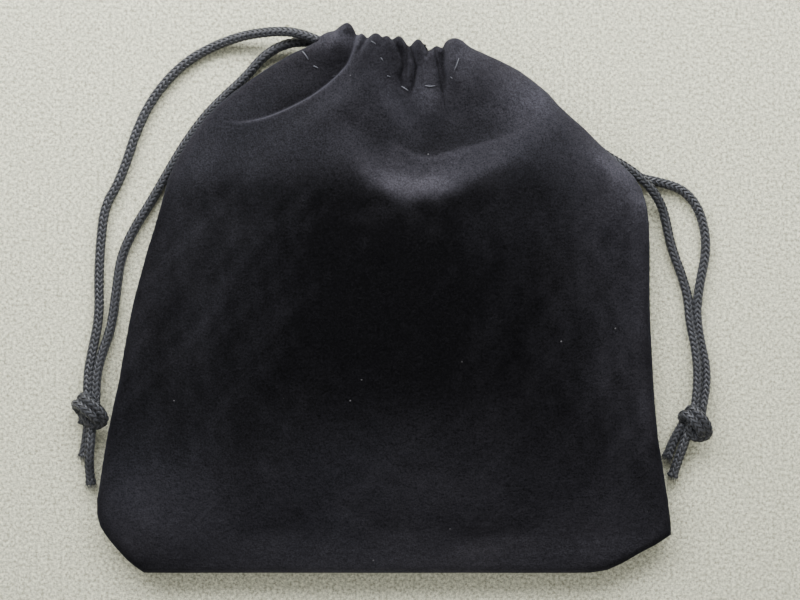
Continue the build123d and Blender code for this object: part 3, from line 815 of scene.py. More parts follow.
RIDGES = [
    (0.4, 1.10, [(-6.36, 72.09), (-7.19, 68.8), (-8.01, 65.52)]),
    (0.6, 1.60, [
    (-2.81, 72.09), (-3.9, 69.35), (-5.82, 66.07), (-7.73, 62.78), (-10.74, 59.5),
]),
    (0.6, 0.95, [(4.03, 71.54), (4.58, 69.62), (5.4, 67.71)]),
    (0.7, 0.80, [(7.32, 64.43), (7.04, 61.69), (6.77, 58.95)]),
    (0.9, 1.20, [(9.23, 70.72), (9.23, 67.71), (10.05, 64.43)]),
    (0.6, 2.40, [
    (12.51, 64.97), (11.97, 60.59), (11.97, 56.22), (11.97, 52.93),
]),
    (0.7, 0.80, [(14.98, 68.8), (15.25, 66.07)]),
    (0.9, 1.60, [
    (19.35, 70.99), (18.53, 67.71), (18.26, 63.33), (19.08, 58.41), (20.45, 54.03),
]),
    (0.4, 2.00, [
    (-3.36, 59.5), (-1.99, 55.12), (1.02, 50.2), (5.4, 45.82),
]),
    (0.5, 1.50, [
    (-10.2, 75.37), (-11.84, 72.63), (-13.75, 69.35), (-17.04, 66.07),
]),
    (0.45, 2.4, [(58.86, -70.83), (56.63, -67.49), (54.4, -65.26)]),
    (0.35, 3.0, [(-68.05, -67.49), (-62.48, -62.47), (-55.24, -59.68)]),
    (0.35, 3.2, [(23.79, -67.49), (37.7, -64.7), (48.83, -64.14)]),
    (0.30, 3.5, [(-40.22, -66.37), (-26.31, -64.14), (-15.17, -66.37)]),
]
# patches of painted sheen and painted shade on the pile: x, y, radii, how much
PAINTED_SHEEN_AND_SHADE_PATCHES = [
    (*[(-13.21, 70.99)][0], 7.0, 4.6, 0.027),
    (*[(-23.06, 51.84)][0], 8.0, 5.0, -0.005),
    (*[(11.97, 56.22)][0], 3.2, 6.0, 0.022),
    (*[(21.82, 66.07)][0], 6.0, 7.0, 0.020),
    (*[(39.88, 54.58)][0], 10.0, 10.0, 0.023),
    (*[(-36.74, 43.08)][0], 9.0, 6.0, -0.004),
    (*[(-9.37, 50.74)][0], 6.0, 5.0, 0.002),
    (*[(37.71, -71.95)][0], 14.0, 6.0, 0.0055),
    (*[(2.12, 63.33)][0], 4.0, 7.0, -0.003),
    (*[(15.25, 42.54)][0], 6.0, 5.0, -0.007),
    (*[(26.19, 50.74)][0], 8.0, 8.0, -0.001),
    (*[(48.63, 47.19)][0], 9.0, 8.0, -0.007),
    (*[(-13.75, 65.79)][0], 7.0, 3.4, -0.007),
    (*[(34.4, 22.56)][0], 12.0, 8.0, 0.004),
    (*[(59.79, 32.6)][0], 12.0, 14.0, 0.012),
    (*[(-66.65, -57.73)][0], 20.0, 15.0, 0.017),
    (*[(62.75, -64.7)][0], 22.0, 12.0, 0.010),
    (*[(4.31, -46.59)][0], 50.0, 16.0, 0.0062),
    (*[(1.52, -73.06)][0], 60.0, 9.0, 0.006),
]


def table(rows, at, column):
    rows = np.array(rows)
    return np.interp(at, rows[:, 1], rows[:, column])


def smooth_step(x):
    x = np.clip(x, 0, 1)
    return x * x * (3 - 2 * x)


def to_line(px, py, line):
    """Distance to a line of points, how far along it (0 to 1), and the side."""
    line = np.array(line, float)[:, :2]
    seg = np.diff(line, axis=0)
    size = np.linalg.norm(seg, axis=1)
    before = np.concatenate([[0], np.cumsum(size)])
    best = np.full(px.shape, 1e9)
    where = np.zeros(px.shape)
    side = np.zeros(px.shape)
    for a, d, l, s0 in zip(line, seg, size, before):
        t = np.clip(((px - a[0]) * d[0] + (py - a[1]) * d[1]) / (l * l), 0, 1)
        dx, dy = px - a[0] - t * d[0], py - a[1] - t * d[1]
        dist = np.hypot(dx, dy)
        near = dist < best
        best = np.where(near, dist, best)
        where = np.where(near, (s0 + t * l) / before[-1], where)
        side = np.where(near, np.sign(d[0] * (py - a[1]) - d[1] * (px - a[0])), side)
    return best, where, side


def smooth_line(points, per=5):
    """The curve through a line's points (Catmull-Rom)."""
    p = np.array(points, float)
    q = np.vstack([2 * p[0] - p[1], p, 2 * p[-1] - p[-2]])
    out = []
    for i in range(len(p) - 1):
        a, b, c, d = q[i : i + 4]
        for k in range(per):
            t = k / per
            out.append(
                0.5 * (2 * b + (c - a) * t + (2 * a - 5 * b + 4 * c - d) * t**2 + (3 * b - a - 3 * c + d) * t**3)
            )
    out.append(p[-1])
    return np.array(out)


left_line = np.array(LEFT)
right_line = np.array(RIGHT)
mouth_line = smooth_line(MOUTH)
left_line[-1], right_line[-1] = mouth_line[0], mouth_line[-1]
EAR_RIDGE = smooth_line(EAR_RIDGE, 3)
CRESCENT = smooth_line(CRESCENT, 4)
Y_BOTTOM = -76.7
left_line[0, 1] = right_line[0, 1] = Y_BOTTOM
NECK_Y = 60.0  # above this the rows close in on the mouth


def edges_at(y):
    return (
        np.interp(y, left_line[:, 1], left_line[:, 0]),
        np.interp(y, right_line[:, 1], right_line[:, 0]),
    )


def belly(x, y):
    """The filled-out front of the bag below the neck."""
    xl, xr = edges_at(np.clip(y, Y_BOTTOM, 60))
    t = np.clip(np.abs((2 * x - xl - xr) / (xr - xl)), 0, 1)
    b = np.clip((6 - y) / (6 - Y_BOTTOM), 0, 1)
    edge = 7.0 - 1.2 * b**4
    return edge + (17.0 - edge) * (1 - t**2.3) * (1 - b**2.7)


neck = np.array(NECK)
more = []
for gy in np.arange(-6.0, 27.0, 8.0):
    xl, xr = edges_at(gy)
    for f in np.linspace(0.0, 1.0, 11):
        gx = xl + (xr - xl) * f
        if gy > 18 and -25 < gx < 60:
            continue
        more.append((gx, gy, float(belly(gx, gy))))
control = np.concatenate([neck, np.array(more)])


def kernel(r):
    return np.where(r > 1e-9, r * r * np.log(np.maximum(r, 1e-9)), 0)


def fit_surface(points, soft=0.6):
    n = len(points)
    r = np.hypot(
        points[:, 0][:, None] - points[:, 0][None], points[:, 1][:, None] - points[:, 1][None]
    )
    a = np.zeros((n + 3, n + 3))
    a[:n, :n] = kernel(r) + soft * np.eye(n) * 4
    a[:n, n] = a[n, :n] = 1
    a[:n, n + 1] = a[n + 1, :n] = points[:, 0]
    a[:n, n + 2] = a[n + 2, :n] = points[:, 1]
    b = np.zeros(n + 3)
    b[:n] = points[:, 2]
    return np.linalg.solve(a, b)


weights = fit_surface(control)


def neck_surface(x, y):
    flat_x, flat_y = x.ravel(), y.ravel()
    out = np.empty(len(flat_x))
    n = len(control)
    for i in range(0, len(flat_x), 4000):
        px, py = flat_x[i : i + 4000], flat_y[i : i + 4000]
        r = np.hypot(px[:, None] - control[:, 0][None], py[:, None] - control[:, 1][None])
        out[i : i + 4000] = (
            kernel(r) @ weights[:n] + weights[n] + weights[n + 1] * px + weights[n + 2] * py
        )
    return out.reshape(x.shape)


def ripple(x, y, seed, size, count=26):
    """Gentle unevenness, a sum of waves in all directions."""
    r = np.random.default_rng(seed)
    total = np.zeros_like(x)
    for _ in range(count):
        a, f, p = r.uniform(0, 2 * math.pi), r.uniform(0.6, 1.6) / size, r.uniform(0, 6.283)
        total += np.sin(2 * math.pi * f * (x * math.cos(a) + y * math.sin(a)) + p)
    return total / math.sqrt(count)


def front_height(x, y):
    low = belly(x, y)
    high = neck_surface(x, np.clip(y, -8, 90))
    z = low + (high - low) * smooth_step((y + 2) / 18)
    z = z + 0.11 * ripple(x, y, 5, 26) + 0.035 * ripple(x, y, 6, 8)
    # the flap of the front over the left ear
    d, t, side = to_line(x, y, EAR_RIDGE)
    fade = smooth_step((0.98 - t) / 0.35) * smooth_step((t + 0.02) / 0.06)
    over = smooth_step(0.5 + 0.5 * (d * side) / 0.45)
    rim = 0.55 * np.exp(-((d / 3.2) ** 2)) + 0.35 * np.exp(-d / 9)
    under = -1.35 * np.exp(-d / 2.6) - 0.5 * np.exp(-d / 8)
    z = z + fade * (over * rim + (1 - over) * under)
    # the step down from the crescent fold to the hollow above it
    d, t, side = to_line(x, y, CRESCENT)
    fade = smooth_step(t / 0.25) * smooth_step((1 - t) / 0.4)
    above = smooth_step(0.5 + 0.5 * (d * side) / 2.2)
    z = z + fade * ((1 - above) * 0.40 * np.exp(-d / 6) - above * 0.55 * np.exp(-d / 4))
    for depth, width, _, line in GROOVES:
        d, t, _ = to_line(x, y, line)
        z = z - depth * np.exp(-((d / width) ** 2)) * smooth_step((1.0 - t) / 0.35)
    for height, width, line in RIDGES:
        d, t, _ = to_line(x, y, line)
        ends = smooth_step((1.0 - t) / 0.5)
        z = z + height * np.exp(-((d / width) ** 2)) * ends
    return z


EDGE = np.array([0.0, 0.06, 0.22, 0.5, 0.9, 1.4, 2.0, 2.8])
ROLL = 2.2


def grid_points(columns, ys, top_rows, left=None, right=None, mouth=None):
    """Rows of points from y to y, then rows that close in on the mouth."""
    left = left_line if left is None else left
    right = right_line if right is None else right
    mouth = mouth_line if mouth is None else mouth
    u = np.linspace(0, 1, columns - 2 * len(EDGE) + 2)[1:-1]
    rows_x, rows_y = [], []
    for y in ys:
        xl, xr = np.interp(y, left[:, 1], left[:, 0]), np.interp(y, right[:, 1], right[:, 0])
        inner = xl + EDGE[-1] + (xr - xl - 2 * EDGE[-1]) * u
        rows_x.append(np.concatenate([xl + EDGE, inner, (xr - EDGE)[::-1]]))
        rows_y.append(np.full(columns, y))
    if not len(top_rows):
        return np.array(rows_x), np.array(rows_y)
    xl0 = np.interp(NECK_Y, left[:, 1], left[:, 0])
    xr0 = np.interp(NECK_Y, right[:, 1], right[:, 0])
    lpath = np.vstack([[xl0, NECK_Y], left[left[:, 1] > NECK_Y + 0.01]])
    rpath = np.vstack([[xr0, NECK_Y], right[right[:, 1] > NECK_Y + 0.01]])

    def along(path, s):
        size = np.concatenate([[0], np.cumsum(np.linalg.norm(np.diff(path, axis=0), axis=1))])
        return (
            np.interp(s * size[-1], size, path[:, 0]),
            np.interp(s * size[-1], size, path[:, 1]),
        )

    for s in top_rows:
        ax, ay = along(lpath, s)
        bx, by = along(rpath, s)
        width = bx - ax
        inner = ax + EDGE[-1] + (width - 2 * EDGE[-1]) * u
        x = np.concatenate([ax + EDGE, inner, (bx - EDGE)[::-1]])
        f = (x - ax) / width
        base = ay + (by - ay) * f
        chord = mouth[0, 1] + (mouth[-1, 1] - mouth[0, 1]) * f
        top_x = mouth[0, 0] + (mouth[-1, 0] - mouth[0, 0]) * f
        rise = np.interp(top_x, mouth[:, 0], mouth[:, 1]) - chord
        power = 2.2 + 14 * np.exp(-np.minimum(f, 1 - f) / 0.05)
        rows_x.append(x)
        rows_y.append(base + rise * s**power)
    return np.array(rows_x), np.array(rows_y)


outline = np.vstack([left_line[::-1], right_line, mouth_line[::-1]])
side_outline = [left_line, right_line]


def edge_distance(x, y, with_mouth=True, bottom=True):
    d = np.minimum(to_line(x, y, left_line)[0], to_line(x, y, right_line)[0])
    if bottom:
        d = np.minimum(d, np.abs(y - Y_BOTTOM))
    if with_mouth:
        d = np.minimum(d, to_line(x, y, mouth_line)[0])
    return d


def roll_off(d, r=ROLL):
    k = np.clip(d / r, 0, 1)
    return r * (1 - np.sqrt(1 - (1 - k) ** 2))


def back_edge_height(y, right):
    """Height of the back panel's edge: on the right shoulder the cords pass under it."""
    if right:
        return np.interp(
            y,
            [-76.7, -68, -60, 10, 18, 24, 32, 40, 50, 55, 59, 62, 66, 72],
            [3.4, 4.2, 4.8, 4.8, 5.4, 6.2, 7.2, 7.6, 7.4, 6.4, 4.4, 2.6, 1.0, 0.4],
        )
    return np.interp(
        y, [-76.7, -68, -60, 30, 45, 58, 63, 67, 72], [3.4, 4.2, 4.8, 4.8, 4.8, 4.4, 2.8, 1.0, 0.4]
    )


def dense(path, count=400):
    size = np.concatenate([[0], np.cumsum(np.linalg.norm(np.diff(path, axis=0), axis=1))])
    s = np.linspace(0, size[-1], count)
    return np.stack([np.interp(s, size, path[:, 0]), np.interp(s, size, path[:, 1])], 1)


def front_edge_height(y, right):
    """Height of the front panel's edge, which leaves the back's towards the mouth."""
    path = dense(right_line if right else left_line)
    low = back_edge_height(path[:, 1], right)
    own = front_height(path[:, 0], path[:, 1]) - ROLL
    part = smooth_step((path[:, 1] - (8 if right else 14)) / 16)
    high = low + np.maximum(0, own - low) * part
    return np.interp(y, path[:, 1], high)


def under_height(x, y):
    """Underside of the bag: flat on the table, curling up to its edges."""
    xl, xr = edges_at(np.clip(y, Y_BOTTOM, 75))
    dl, dr = to_line(x, y, left_line)[0], to_line(x, y, right_line)[0]
    el = np.interp(y, [-76.7, -60, 30, 45], [5.0, 8.0, 8.0, 9.5])
    er = np.interp(y, [-76.7, -60, 18, 36, 66, 72], [5.0, 8.0, 8.5, 20.0, 18.0, 8.0])
    zl, zr = back_edge_height(y, False), back_edge_height(y, True)

    def curl(d, e, z):
        k = np.clip(1 - d / e, 0, 1)
        return z * (0.45 * k**1.6 + 0.55 * (1 - np.sqrt(1 - np.clip(k, 0, 1) ** 3)))

    db = np.abs(y - Y_BOTTOM)
    kb = np.clip(1 - db / 5.0, 0, 1)
    zb = 3.4 * (1 - np.sqrt(1 - kb**2))
    z = np.maximum(np.maximum(curl(dl, el, zl), curl(dr, er, zr)), zb)
    z = z + 0.16 + 0.07 * ripple(x, y, 9, 22)
    # the seam's valley
    z = z + 0.65 * np.exp(-(((y - SEAM_Y) / 0.8) ** 2))
    for cx in (-64.5, 62.0):
        run = smooth_step((16 - np.abs(y + 57)) / 3)
        z = z + 0.55 * np.exp(-(((x - cx) / 0.7) ** 2)) * run
    return np.maximum(z, 0.05)


SEAM_Y = -56.0
COLUMNS = 300


def painted_sheen_values(x, y):
    """Painted sheen and painted shade for the front's base colour: paler on slopes, darker in hollows, grooves
    and under the ear's flap, plus painted patches.
    """
    e = 0.2
    gx = (front_height(x + e, y) - front_height(x - e, y)) / (2 * e)
    gy = (front_height(x, y + e) - front_height(x, y - e)) / (2 * e)
    nz2 = 1 / (1 + gx**2 + gy**2)
    # painted sheen: the colour is paler the more the surface slopes, and paler still on slopes facing the top of
    # the bag
    top_facing_sheen = 1 - 0.45 * gy * np.sqrt(nz2)
    neck_part = smooth_step((y - 25) / 19)
    value = 0.0013 + 0.0160 * neck_part + (0.175 - 0.160 * neck_part) * (1 - nz2) * top_facing_sheen
    xl, xr = edges_at(np.clip(y, Y_BOTTOM, 60))
    t = np.clip((2 * x - xl - xr) / (xr - xl), -1, 1)
    # painted shade towards the left edge of the belly and over part of its right side
    value = value * (1 - 0.5 * smooth_step((-t - 0.55) / 0.4) * (1 - neck_part))
    value = value * (1 - 0.25 * smooth_step((t - 0.35) / 0.2) * smooth_step((0.85 - t) / 0.2) * (1 - neck_part))
    # painted light over the bottom fold, to lift the shade of the rounded edge
    value = value + 0.016 * smooth_step(1 - (y - Y_BOTTOM) / 2.6)
    # patches of painted sheen and painted shade
    for cx, cy, rx, ry, much in PAINTED_SHEEN_AND_SHADE_PATCHES:
        value = value + much * np.exp(-(((x - cx) / rx) ** 2) - ((y - cy) / ry) ** 2)
    # less painted sheen where the sides roll off
    d = np.minimum(to_line(x, y, left_line)[0], to_line(x, y, right_line)[0])
    value = value * (1 - 0.25 * np.exp(-((d / 2.0) ** 2)) * (1 - neck_part))
    value = np.minimum(value, 0.058 + 0.3 * np.clip(value - 0.058, 0, 0.1))
    # painted shade under the front's flap over the left ear, and a painted highlight along its ridge
    d, t, side = to_line(x, y, EAR_RIDGE)
    fade = smooth_step((0.88 - t) / 0.40)
    below = smooth_step(0.5 - 0.5 * (d * side) / 0.45)
    value = value * (1 - 0.36 * fade * below * np.exp(-d / 3.0))
    value = value + 0.011 * fade * np.exp(-(((d * side - 0.45) / 0.5) ** 2))
    # painted shade in the hollow above the crescent fold, and a painted sheen band on the fold's slope below it
    d, t, side = to_line(x, y, CRESCENT)
    fade = smooth_step(t / 0.25) * smooth_step((1 - t) / 0.4)
    above = smooth_step(0.5 + 0.5 * (d * side) / 0.7)
    value = value * (1 - 0.38 * fade * above * np.exp(-d / 4.5))
    width = np.interp(t, [0, 0.3, 0.6, 0.8, 1], [8.0, 9.8, 9.0, 7.2, 5.5])
    band = smooth_step((width - d) / 3.0) * smooth_step(t / 0.12) * smooth_step((1 - t) / 0.4)
    value = value + band * (1 - above) * np.maximum(0, 0.0265 - value) * 0.9
    # painted shade in the grooves between the pleats
    for _, width, dark, line in GROOVES:
        d, t, _ = to_line(x, y, line)
        part = np.exp(-((d / width) ** 2)) * smooth_step((1.0 - t) / 0.35)
        value = value * (1 - dark * part)
    return np.maximum(value * (0.95 - 0.10 * neck_part), 0.0018)


def set_painted_sheen(obj, values):
    obj.data.attributes.new("painted_sheen", "FLOAT", "POINT").data.foreach_set(
        "value", np.asarray(values, np.float32).ravel()
    )


def painted_sheen_by_slope(obj):
    """Painted sheen for the other pieces, paler where they slope, from their slope alone."""
    data = obj.data
    normal = np.empty(len(data.vertices) * 3, np.float32)
    data.vertex_normals.foreach_get("vector", normal)
    normal = normal.reshape(-1, 3).astype(float)
    set_painted_sheen(obj, 0.006 + 0.022 * (1 - normal[:, 2] ** 2))


def grid_faces(rows, columns, base=0, flip=False):
    faces = []
    for j in range(rows - 1):
        for i in range(columns - 1):
            a = base + j * columns + i
            f = (a, a + 1, a + columns + 1, a + columns)
            faces.append(f[::-1] if flip else f)
    return faces


def finish_cloth(obj, thickness):
    """Give the sheet its thickness on its inner side, and apply it."""
    mod = obj.modifiers.new("thickness", "SOLIDIFY")
    mod.thickness = thickness * MM
    mod.offset = -1
    mod.use_rim = True
    mod.use_even_offset = False
    dg = bpy.context.evaluated_depsgraph_get()
    dg.update()
    made = bpy.data.meshes.new_from_object(obj.evaluated_get(dg))
    obj.modifiers.clear()
    old = obj.data
    obj.data = made
    bpy.data.meshes.remove(old)
    return obj


def top_steps(count):
    s = np.linspace(0, 1, count + 1)[1:]
    tail_rows = 1 - np.array([2.4, 1.8, 1.3, 0.85, 0.45, 0.18, 0.04, 0.0]) / 16.0
    s = s[s < tail_rows[0] - 0.01]
    return np.concatenate([s, tail_rows])


# ---------------------------------------------------------- front of bag
ys_wrap = np.concatenate(
    [np.arange(SEAM_Y, Y_BOTTOM + 2.9, -0.9), Y_BOTTOM + EDGE[::-1][:-1]]
)
ys_main = np.concatenate(
    [Y_BOTTOM + EDGE, np.arange(Y_BOTTOM + 3.6, 20, 0.85), np.arange(20.2, NECK_Y, 0.5)]
)
wx, wy = grid_points(COLUMNS, ys_wrap, [])
wz = under_height(wx, wy)
mx, my = grid_points(COLUMNS, ys_main, top_steps(32))
mz = front_height(mx, my) - roll_off(edge_distance(mx, my))
# the sides: down to the seam, and to the gathered gussets above it
for right in (False, True):
    d = to_line(mx, my, right_line if right else left_line)[0]
    edge = -1 if right else 0
    target = front_edge_height(my[:, edge], right)
    mz = mz + (target - mz[:, edge])[:, None] * np.exp(-((d / 3.5) ** 2))
# bottom row is shared by the top and the underside
mz[0] = wz[-1]
gx = np.vstack([wx, mx[1:]])
gy = np.vstack([wy, my[1:]])
gz = np.vstack([wz, mz[1:]])
# the casing's fold-over at the mouth, and its inner face
top_x, top_y, top_z = mx[-1], my[-1], mz[-1]
f = (top_x - top_x[0]) / (top_x[-1] - top_x[0])
soft = np.convolve(np.pad(top_y, 24, "edge"), np.hanning(49) / np.hanning(49).sum(), "valid")
ends = smooth_step(np.minimum(f, 1 - f) / 0.06)
tx, ty = np.gradient(top_x), np.gradient(top_y)
size = np.hypot(tx, ty)
nx, ny = -ty / size * ends, tx / size
nx = np.convolve(np.pad(nx, 3, "edge"), np.ones(7) / 7, "valid")
ny = np.convolve(np.pad(ny, 3, "edge"), np.ones(7) / 7, "valid")
hx, hy, hz = [], [], []
LOW = 5.6  # underside of the front casing
for k in range(1, 13):
    a = k / 12 * math.pi
    w = smooth_step(k / 12)
    go = 0.9 * (1 - math.cos(a)) / 2
    hx.append(top_x - nx * go)
    hy.append(top_y - ny * go - np.maximum(top_y - soft, 0) * 0.6 * w)
    hz.append(top_z + (LOW - top_z) * (1 - math.cos(a)) / 2)
for k in range(1, 17):
    w = k / 16
    hx.append(hx[11] + (top_x * 0.98 - hx[11]) * w)
    to = np.minimum(soft, 71.0) - 1.6 - 9.0 * w
    hy.append(hy[11] + (to - hy[11]) * (0.5 * w + 0.5 * smooth_step(w * 1.3)))
    hz.append(LOW + 0.2 * np.sin(top_x * 1.25) * w + 3.0 * smooth_step((w - 0.62) / 0.38))
gx = np.vstack([gx, np.array(hx)])
gy = np.vstack([gy, np.array(hy)])
gz = np.vstack([gz, np.array(hz)])
vertices = np.stack([gx, gy, gz], 2).reshape(-1, 3)
front = mesh_object("front_velvet", vertices, grid_faces(len(gx), COLUMNS), [VELVET])
top_painted_sheen = painted_sheen_values(mx, my)
# the underside and the casing's inner face get darker copies of the edge rows' painted sheen: painted shade
under_painted_sheen = np.tile(top_painted_sheen[0], (len(wx) - 1, 1)) * 0.8
set_painted_sheen(front, np.vstack([under_painted_sheen, top_painted_sheen, np.tile(top_painted_sheen[-1] * 0.8, (len(hx), 1))]))
finish_cloth(front, 0.6)
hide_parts("front_panel", "front_lip_panel", "front_casing")
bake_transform(front)

# ----------------------------------------------------------- back of bag
ys_back = np.concatenate([np.arange(SEAM_Y, 20, 1.1), np.arange(20.4, NECK_Y, 0.7)])
back_right = dense(right_line, 300)
back_right[:, 0] -= 3.5 * smooth_step((back_right[:, 1] - 54) / 5)
back_mouth = dense(mouth_line, 240)
for _ in range(3):
    back_mouth[:, 1] = np.convolve(np.pad(back_mouth[:, 1], 12, "edge"), np.ones(25) / 25, "valid")
f = (back_mouth[:, 0] - back_mouth[0, 0]) / (back_mouth[-1, 0] - back_mouth[0, 0])
back_mouth[:, 0] = left_line[-1, 0] + (back_right[-1, 0] - left_line[-1, 0]) * f
chord = left_line[-1, 1] + (back_right[-1, 1] - left_line[-1, 1]) * f
back_mouth[:, 1] = chord + (back_mouth[:, 1] - 2.6 - chord) * smooth_step(np.minimum(f, 1 - f) / 0.12)
bx, by = grid_points(220, ys_back, top_steps(24), left_line, back_right, back_mouth)
bz = under_height(bx, by)
near_top = to_line(bx, by, back_mouth)[0]
bz = bz + 0.55 * np.exp(-((near_top / 9) ** 2)) * (1 + np.sin(bx * 1.55 + 0.12 * by))
top_x, top_y, top_z = bx[-1], by[-1], bz[-1]
hx, hy, hz = [], [], []
for k in range(1, 9):
    a = k / 8 * math.pi
    hx.append(top_x)
    hy.append(top_y - 0.8 * smooth_step(k / 8))
    hz.append(top_z + (4.6 - top_z) * (1 - math.cos(a)) / 2)
for k in range(1, 13):
    w = k / 12
    hx.append(top_x * (1 - 0.02 * w))
    hy.append(hy[7] - 0.85 * k)
    hz.append(4.6 + 0.2 * np.sin(top_x * 1.3) * w - 0.8 * smooth_step((w - 0.8) / 0.2))
bx = np.vstack([bx, np.array(hx)])
by = np.vstack([by, np.array(hy)])
bz = np.vstack([bz, np.array(hz)])
vertices = np.stack([bx, by, bz], 2).reshape(-1, 3)
back = mesh_object("back_velvet", vertices, grid_faces(len(bx), 220, flip=True), [VELVET])
finish_cloth(back, 0.8)
painted_sheen_by_slope(back)
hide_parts("back_panel", "back_casing")
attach(back, "bag")

# -------------------------------- gathered cloth between the two lips
for side, path in (("left", left_line), ("right", right_line)):
    right = side == "right"
    inward = -1 if right else 1
    path = dense(path, 700)
    keep = (path[:, 1] > (6.0 if right else 12.0)) & (path[:, 1] < (58.0 if right else 67.6))
    ex, ey = path[keep][:, 0], path[keep][:, 1]
    low = back_edge_height(ey, right)
    lift = front_edge_height(ey, right) - low
    folds = 24
    depth = np.clip(0.5 * lift, 0.15, 2.4) * (0.85 + 0.15 * np.sin(ey * 0.9))
    if right:
        low_shift = 3.5 * smooth_step((ey - 54) / 5)
    else:
        low_shift = np.zeros_like(ey)
    rows = []
    for k in range(folds + 1):
        w = k / folds
        inset = depth * (0.5 - 0.5 * math.cos(2 * math.pi * 3 * w)) + low_shift * (1 - w)
        rows.append(
            np.stack([ex + inward * (inset + 0.25), ey - 0.25 * inset, low - 0.1 + (lift + 0.1) * w], 1)
        )
    vertices = np.array(rows).reshape(-1, 3)
    web = mesh_object(
        f"{side}_gathered_gusset", vertices, grid_faces(folds + 1, len(ex), flip=not right), [VELVET]
    )
    finish_cloth(web, 0.35)
    painted_sheen_by_slope(web)
    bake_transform(web)


# =====================================================================
# sewing thread
# =====================================================================
def thread_runs(name, runs, radius, material):
    """Short lengths of thread, each a line of points."""
    vertices, faces, base = [], [], 0
    for points in runs:
        line = np.array(points, float)
        tangent, n1, n2 = frames_along(line)
        sides = 8
        ends = np.sin(np.linspace(0.18, math.pi - 0.18, len(line))) ** 0.35
        for p, a, b, w in zip(line, n1, n2, ends):
            for j in range(sides):
                t = 2 * math.pi * j / sides
                vertices.append(p + (a * math.cos(t) + b * math.sin(t)) * radius * w)
        for m in range(len(line) - 1):
            for j in range(sides):
                c, d = base + m * sides + j, base + m * sides + (j + 1) % sides
                faces.append((c, d, d + sides, c + sides))
        faces.append(tuple(base + j for j in range(sides))[::-1])
        faces.append(tuple(base + (len(line) - 1) * sides + j for j in range(sides)))
        base += len(line) * sides
    obj = mesh_object(name, np.array(vertices), faces, [material])
    return obj


def surface_height(x, y):
    x, y = np.array(x, float), np.array(y, float)
    return front_height(x, y) - roll_off(edge_distance(x, y))


def stitch_on_front(a, b, proud, arch=0.12, count=9, bow=0.0):
    a, b = np.array(a, float), np.array(b, float)
    t = np.linspace(0, 1, count)
    side = np.array([-(b - a)[1], (b - a)[0]])
    side /= np.linalg.norm(side)
    x = a[0] + (b[0] - a[0]) * t + side[0] * bow * np.sin(math.pi * t)
    y = a[1] + (b[1] - a[1]) * t + side[1] * bow * np.sin(math.pi * t)
    z = surface_height(x, y) + proud + arch * np.sin(math.pi * t)
    z[0] -= 0.25
    z[-1] -= 0.25
    return np.stack([x, y, z], 1)


SHOWING = [
    ([(-22.64, 67.78), (-20.81, 65.25)], 0.06, 0.1),
    ([(-19.58, 63.69), (-18.25, 63.14)], 0.04, 0.0),
    ([(-3.61, 69.86), (-2.22, 69.03)], 0.00, 0.0),
    ([(-0.97, 65.56), (-0.28, 64.58)], 0.02, 0.0),
    ([(0.69, 60.69), (1.67, 60.42)], 0.05, 0.0),
    ([(4.58, 58.19), (6.67, 56.75)], 0.05, 0.0),
    ([(10.97, 58.08), (14.03, 58.08)], 0.06, -0.35),
    ([(20.36, 65.28), (19.03, 61.81)], 0.07, 0.1),
    ([(18.06, 60.28), (18.61, 59.72)], 0.03, 0.0),
]
runs = [stitch_on_front(p[0], p[1], proud, bow=bow) for p, proud, bow in SHOWING]
stitches = thread_runs("casing_stitches_front", runs, 0.14, THREAD)
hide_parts("channel_stitching_front")
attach(stitches, "front_lip")

runs = []
for i in range(12):
    x = -16.4 + 3.2 * i
    t = np.linspace(0, 1, 7)
    xs = x + 2.2 * t
    ys = np.full(7, 62.4)
    z = under_height(xs, ys) - 0.02 - 0.06 * np.sin(math.pi * t)
    runs.append(np.stack([xs, ys, np.maximum(z, 0.16)], 1))
stitches = thread_runs("casing_stitches_back", runs, 0.15, DARK_THREAD)
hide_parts("channel_stitching_back")
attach(stitches, "bag")


def under_run(points, lift=0.0):
    pts = np.array(points, float)
    z = under_height(pts[:, 0], pts[:, 1]) - 0.05 + lift
    return np.stack([pts[:, 0], pts[:, 1], np.maximum(z, 0.16)], 1)


runs = []
for i in range(38):
    x = -62 + 3.2 * i
    t = np.linspace(0, 1, 7)
    runs.append(under_run(np.stack([x + 2.2 * t, np.full(7, SEAM_Y)], 1)))
obj = thread_runs("bottom_seam_stitches", runs, 0.15, DARK_THREAD)
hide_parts("bottom_seam_thread")
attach(obj, "bag")
for side, cx in (("left", -64.5), ("right", 62.0)):
    runs = []
    for i in range(8):
        y = -70 + 3.3 * i + (1.2 if i > 3 else 0)
        t = np.linspace(0, 1, 7)
        runs.append(under_run(np.stack([np.full(7, cx), y + 2.2 * t], 1)))
    obj = thread_runs(f"corner_seam_stitches_{side}", runs, 0.15, DARK_THREAD)
    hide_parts(f"corner_seam_thread_{side}")
    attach(obj, "bag")
for side in ("left", "right"):
    path = left_line if side == "left" else right_line[6:]
    runs = []
    y = -54.0
    while y < 30:
        t = np.linspace(0, 1, 7)
        ys = y + 2.2 * t
        xs = np.interp(ys, path[:, 1], path[:, 0])
        inward = 0.10 if side == "left" else -0.10
        z = back_edge_height(ys, side == "right") + 0.1
        runs.append(np.stack([xs + inward, ys, z], 1))
        y += 3.2
    obj = thread_runs(f"side_seam_stitches_{side}", runs, 0.16, DARK_THREAD)
    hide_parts(f"side_seam_thread_{side}")
    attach(obj, "bag")

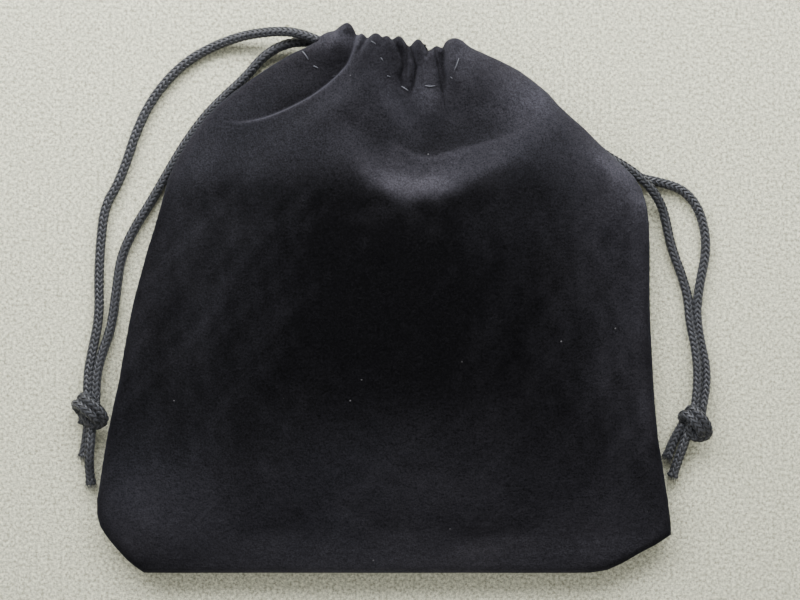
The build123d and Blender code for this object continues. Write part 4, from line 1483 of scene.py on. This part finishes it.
# =====================================================================
# table and light
# =====================================================================
floor_material, tree, bsdf = new_material("pale_felt")
where = node(tree, "ShaderNodeTexCoord")
felt = node(tree, "ShaderNodeTexNoise", Scale=1150.0, Detail=4.0, Roughness=0.8)
tree.links.new(where.outputs["Object"], felt.inputs["Vector"])
felt_range = node(tree, "ShaderNodeMapRange")
felt_range.inputs["From Min"].default_value = 0.38
felt_range.inputs["From Max"].default_value = 0.62
tree.links.new(felt.outputs["Fac"], felt_range.inputs["Value"])
felt_mix = node(tree, "ShaderNodeMix", data_type="RGBA")
felt_mix.inputs["A"].default_value = (0.31, 0.308, 0.214, 1)
felt_mix.inputs["B"].default_value = (0.90, 0.897, 0.690, 1)
tree.links.new(felt_range.outputs["Result"], felt_mix.inputs["Factor"])
tree.links.new(felt_mix.outputs["Result"], bsdf.inputs["Base Color"])
bsdf.inputs["Roughness"].default_value = 0.95
bsdf.inputs["Specular IOR Level"].default_value = 0.1
floor_bump = node(tree, "ShaderNodeBump", Strength=0.6, Distance=0.0006)
tree.links.new(felt.outputs["Fac"], floor_bump.inputs["Height"])
tree.links.new(floor_bump.outputs["Normal"], bsdf.inputs["Normal"])
floor = mesh_object(
    "table_top",
    np.array([(-2500, -2500, -0.02), (2500, -2500, -0.02), (2500, 2500, -0.02), (-2500, 2500, -0.02)]),
    [(0, 1, 2, 3)],
    [floor_material],
    smooth=False,
)
floor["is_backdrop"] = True


def area_light(name, at, aim, size, power, colour=(1, 1, 1)):
    data = bpy.data.lights.new(name, "AREA")
    data.shape = "RECTANGLE"
    data.size, data.size_y = size
    data.energy = power
    data.color = colour
    light = bpy.data.objects.new(name, data)
    light.location = at
    light.rotation_euler = (Vector(aim) - Vector(at)).to_track_quat("-Z", "Y").to_euler()
    bpy.context.scene.collection.objects.link(light)


area_light("key", (-0.08, 0.60, 0.55), (0, 0, 0), (1.0, 0.5), 2.2)
area_light("window", (-0.04, 0.34, 0.25), (0, 0.02, 0), (0.9, 0.2), 7.2, (0.99, 0.995, 1.03))
area_light("fill_left", (-0.9, 0.0, 0.7), (0, 0, 0), (0.7, 0.9), 1.35)
area_light("fill_right", (0.9, -0.1, 0.7), (0, 0, 0), (0.7, 0.9), 1.35)
area_light("fill_low", (0.05, -0.5, 0.5), (0, 0, 0), (0.9, 0.6), 1.5, (1.0, 0.99, 0.95))

world = bpy.data.worlds.new("soft_room")
bpy.context.scene.world = world
world.use_nodes = True
world.node_tree.nodes["Background"].inputs["Color"].default_value = (0.97, 0.98, 1.0, 1)
world.node_tree.nodes["Background"].inputs["Strength"].default_value = 0.28

low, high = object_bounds()
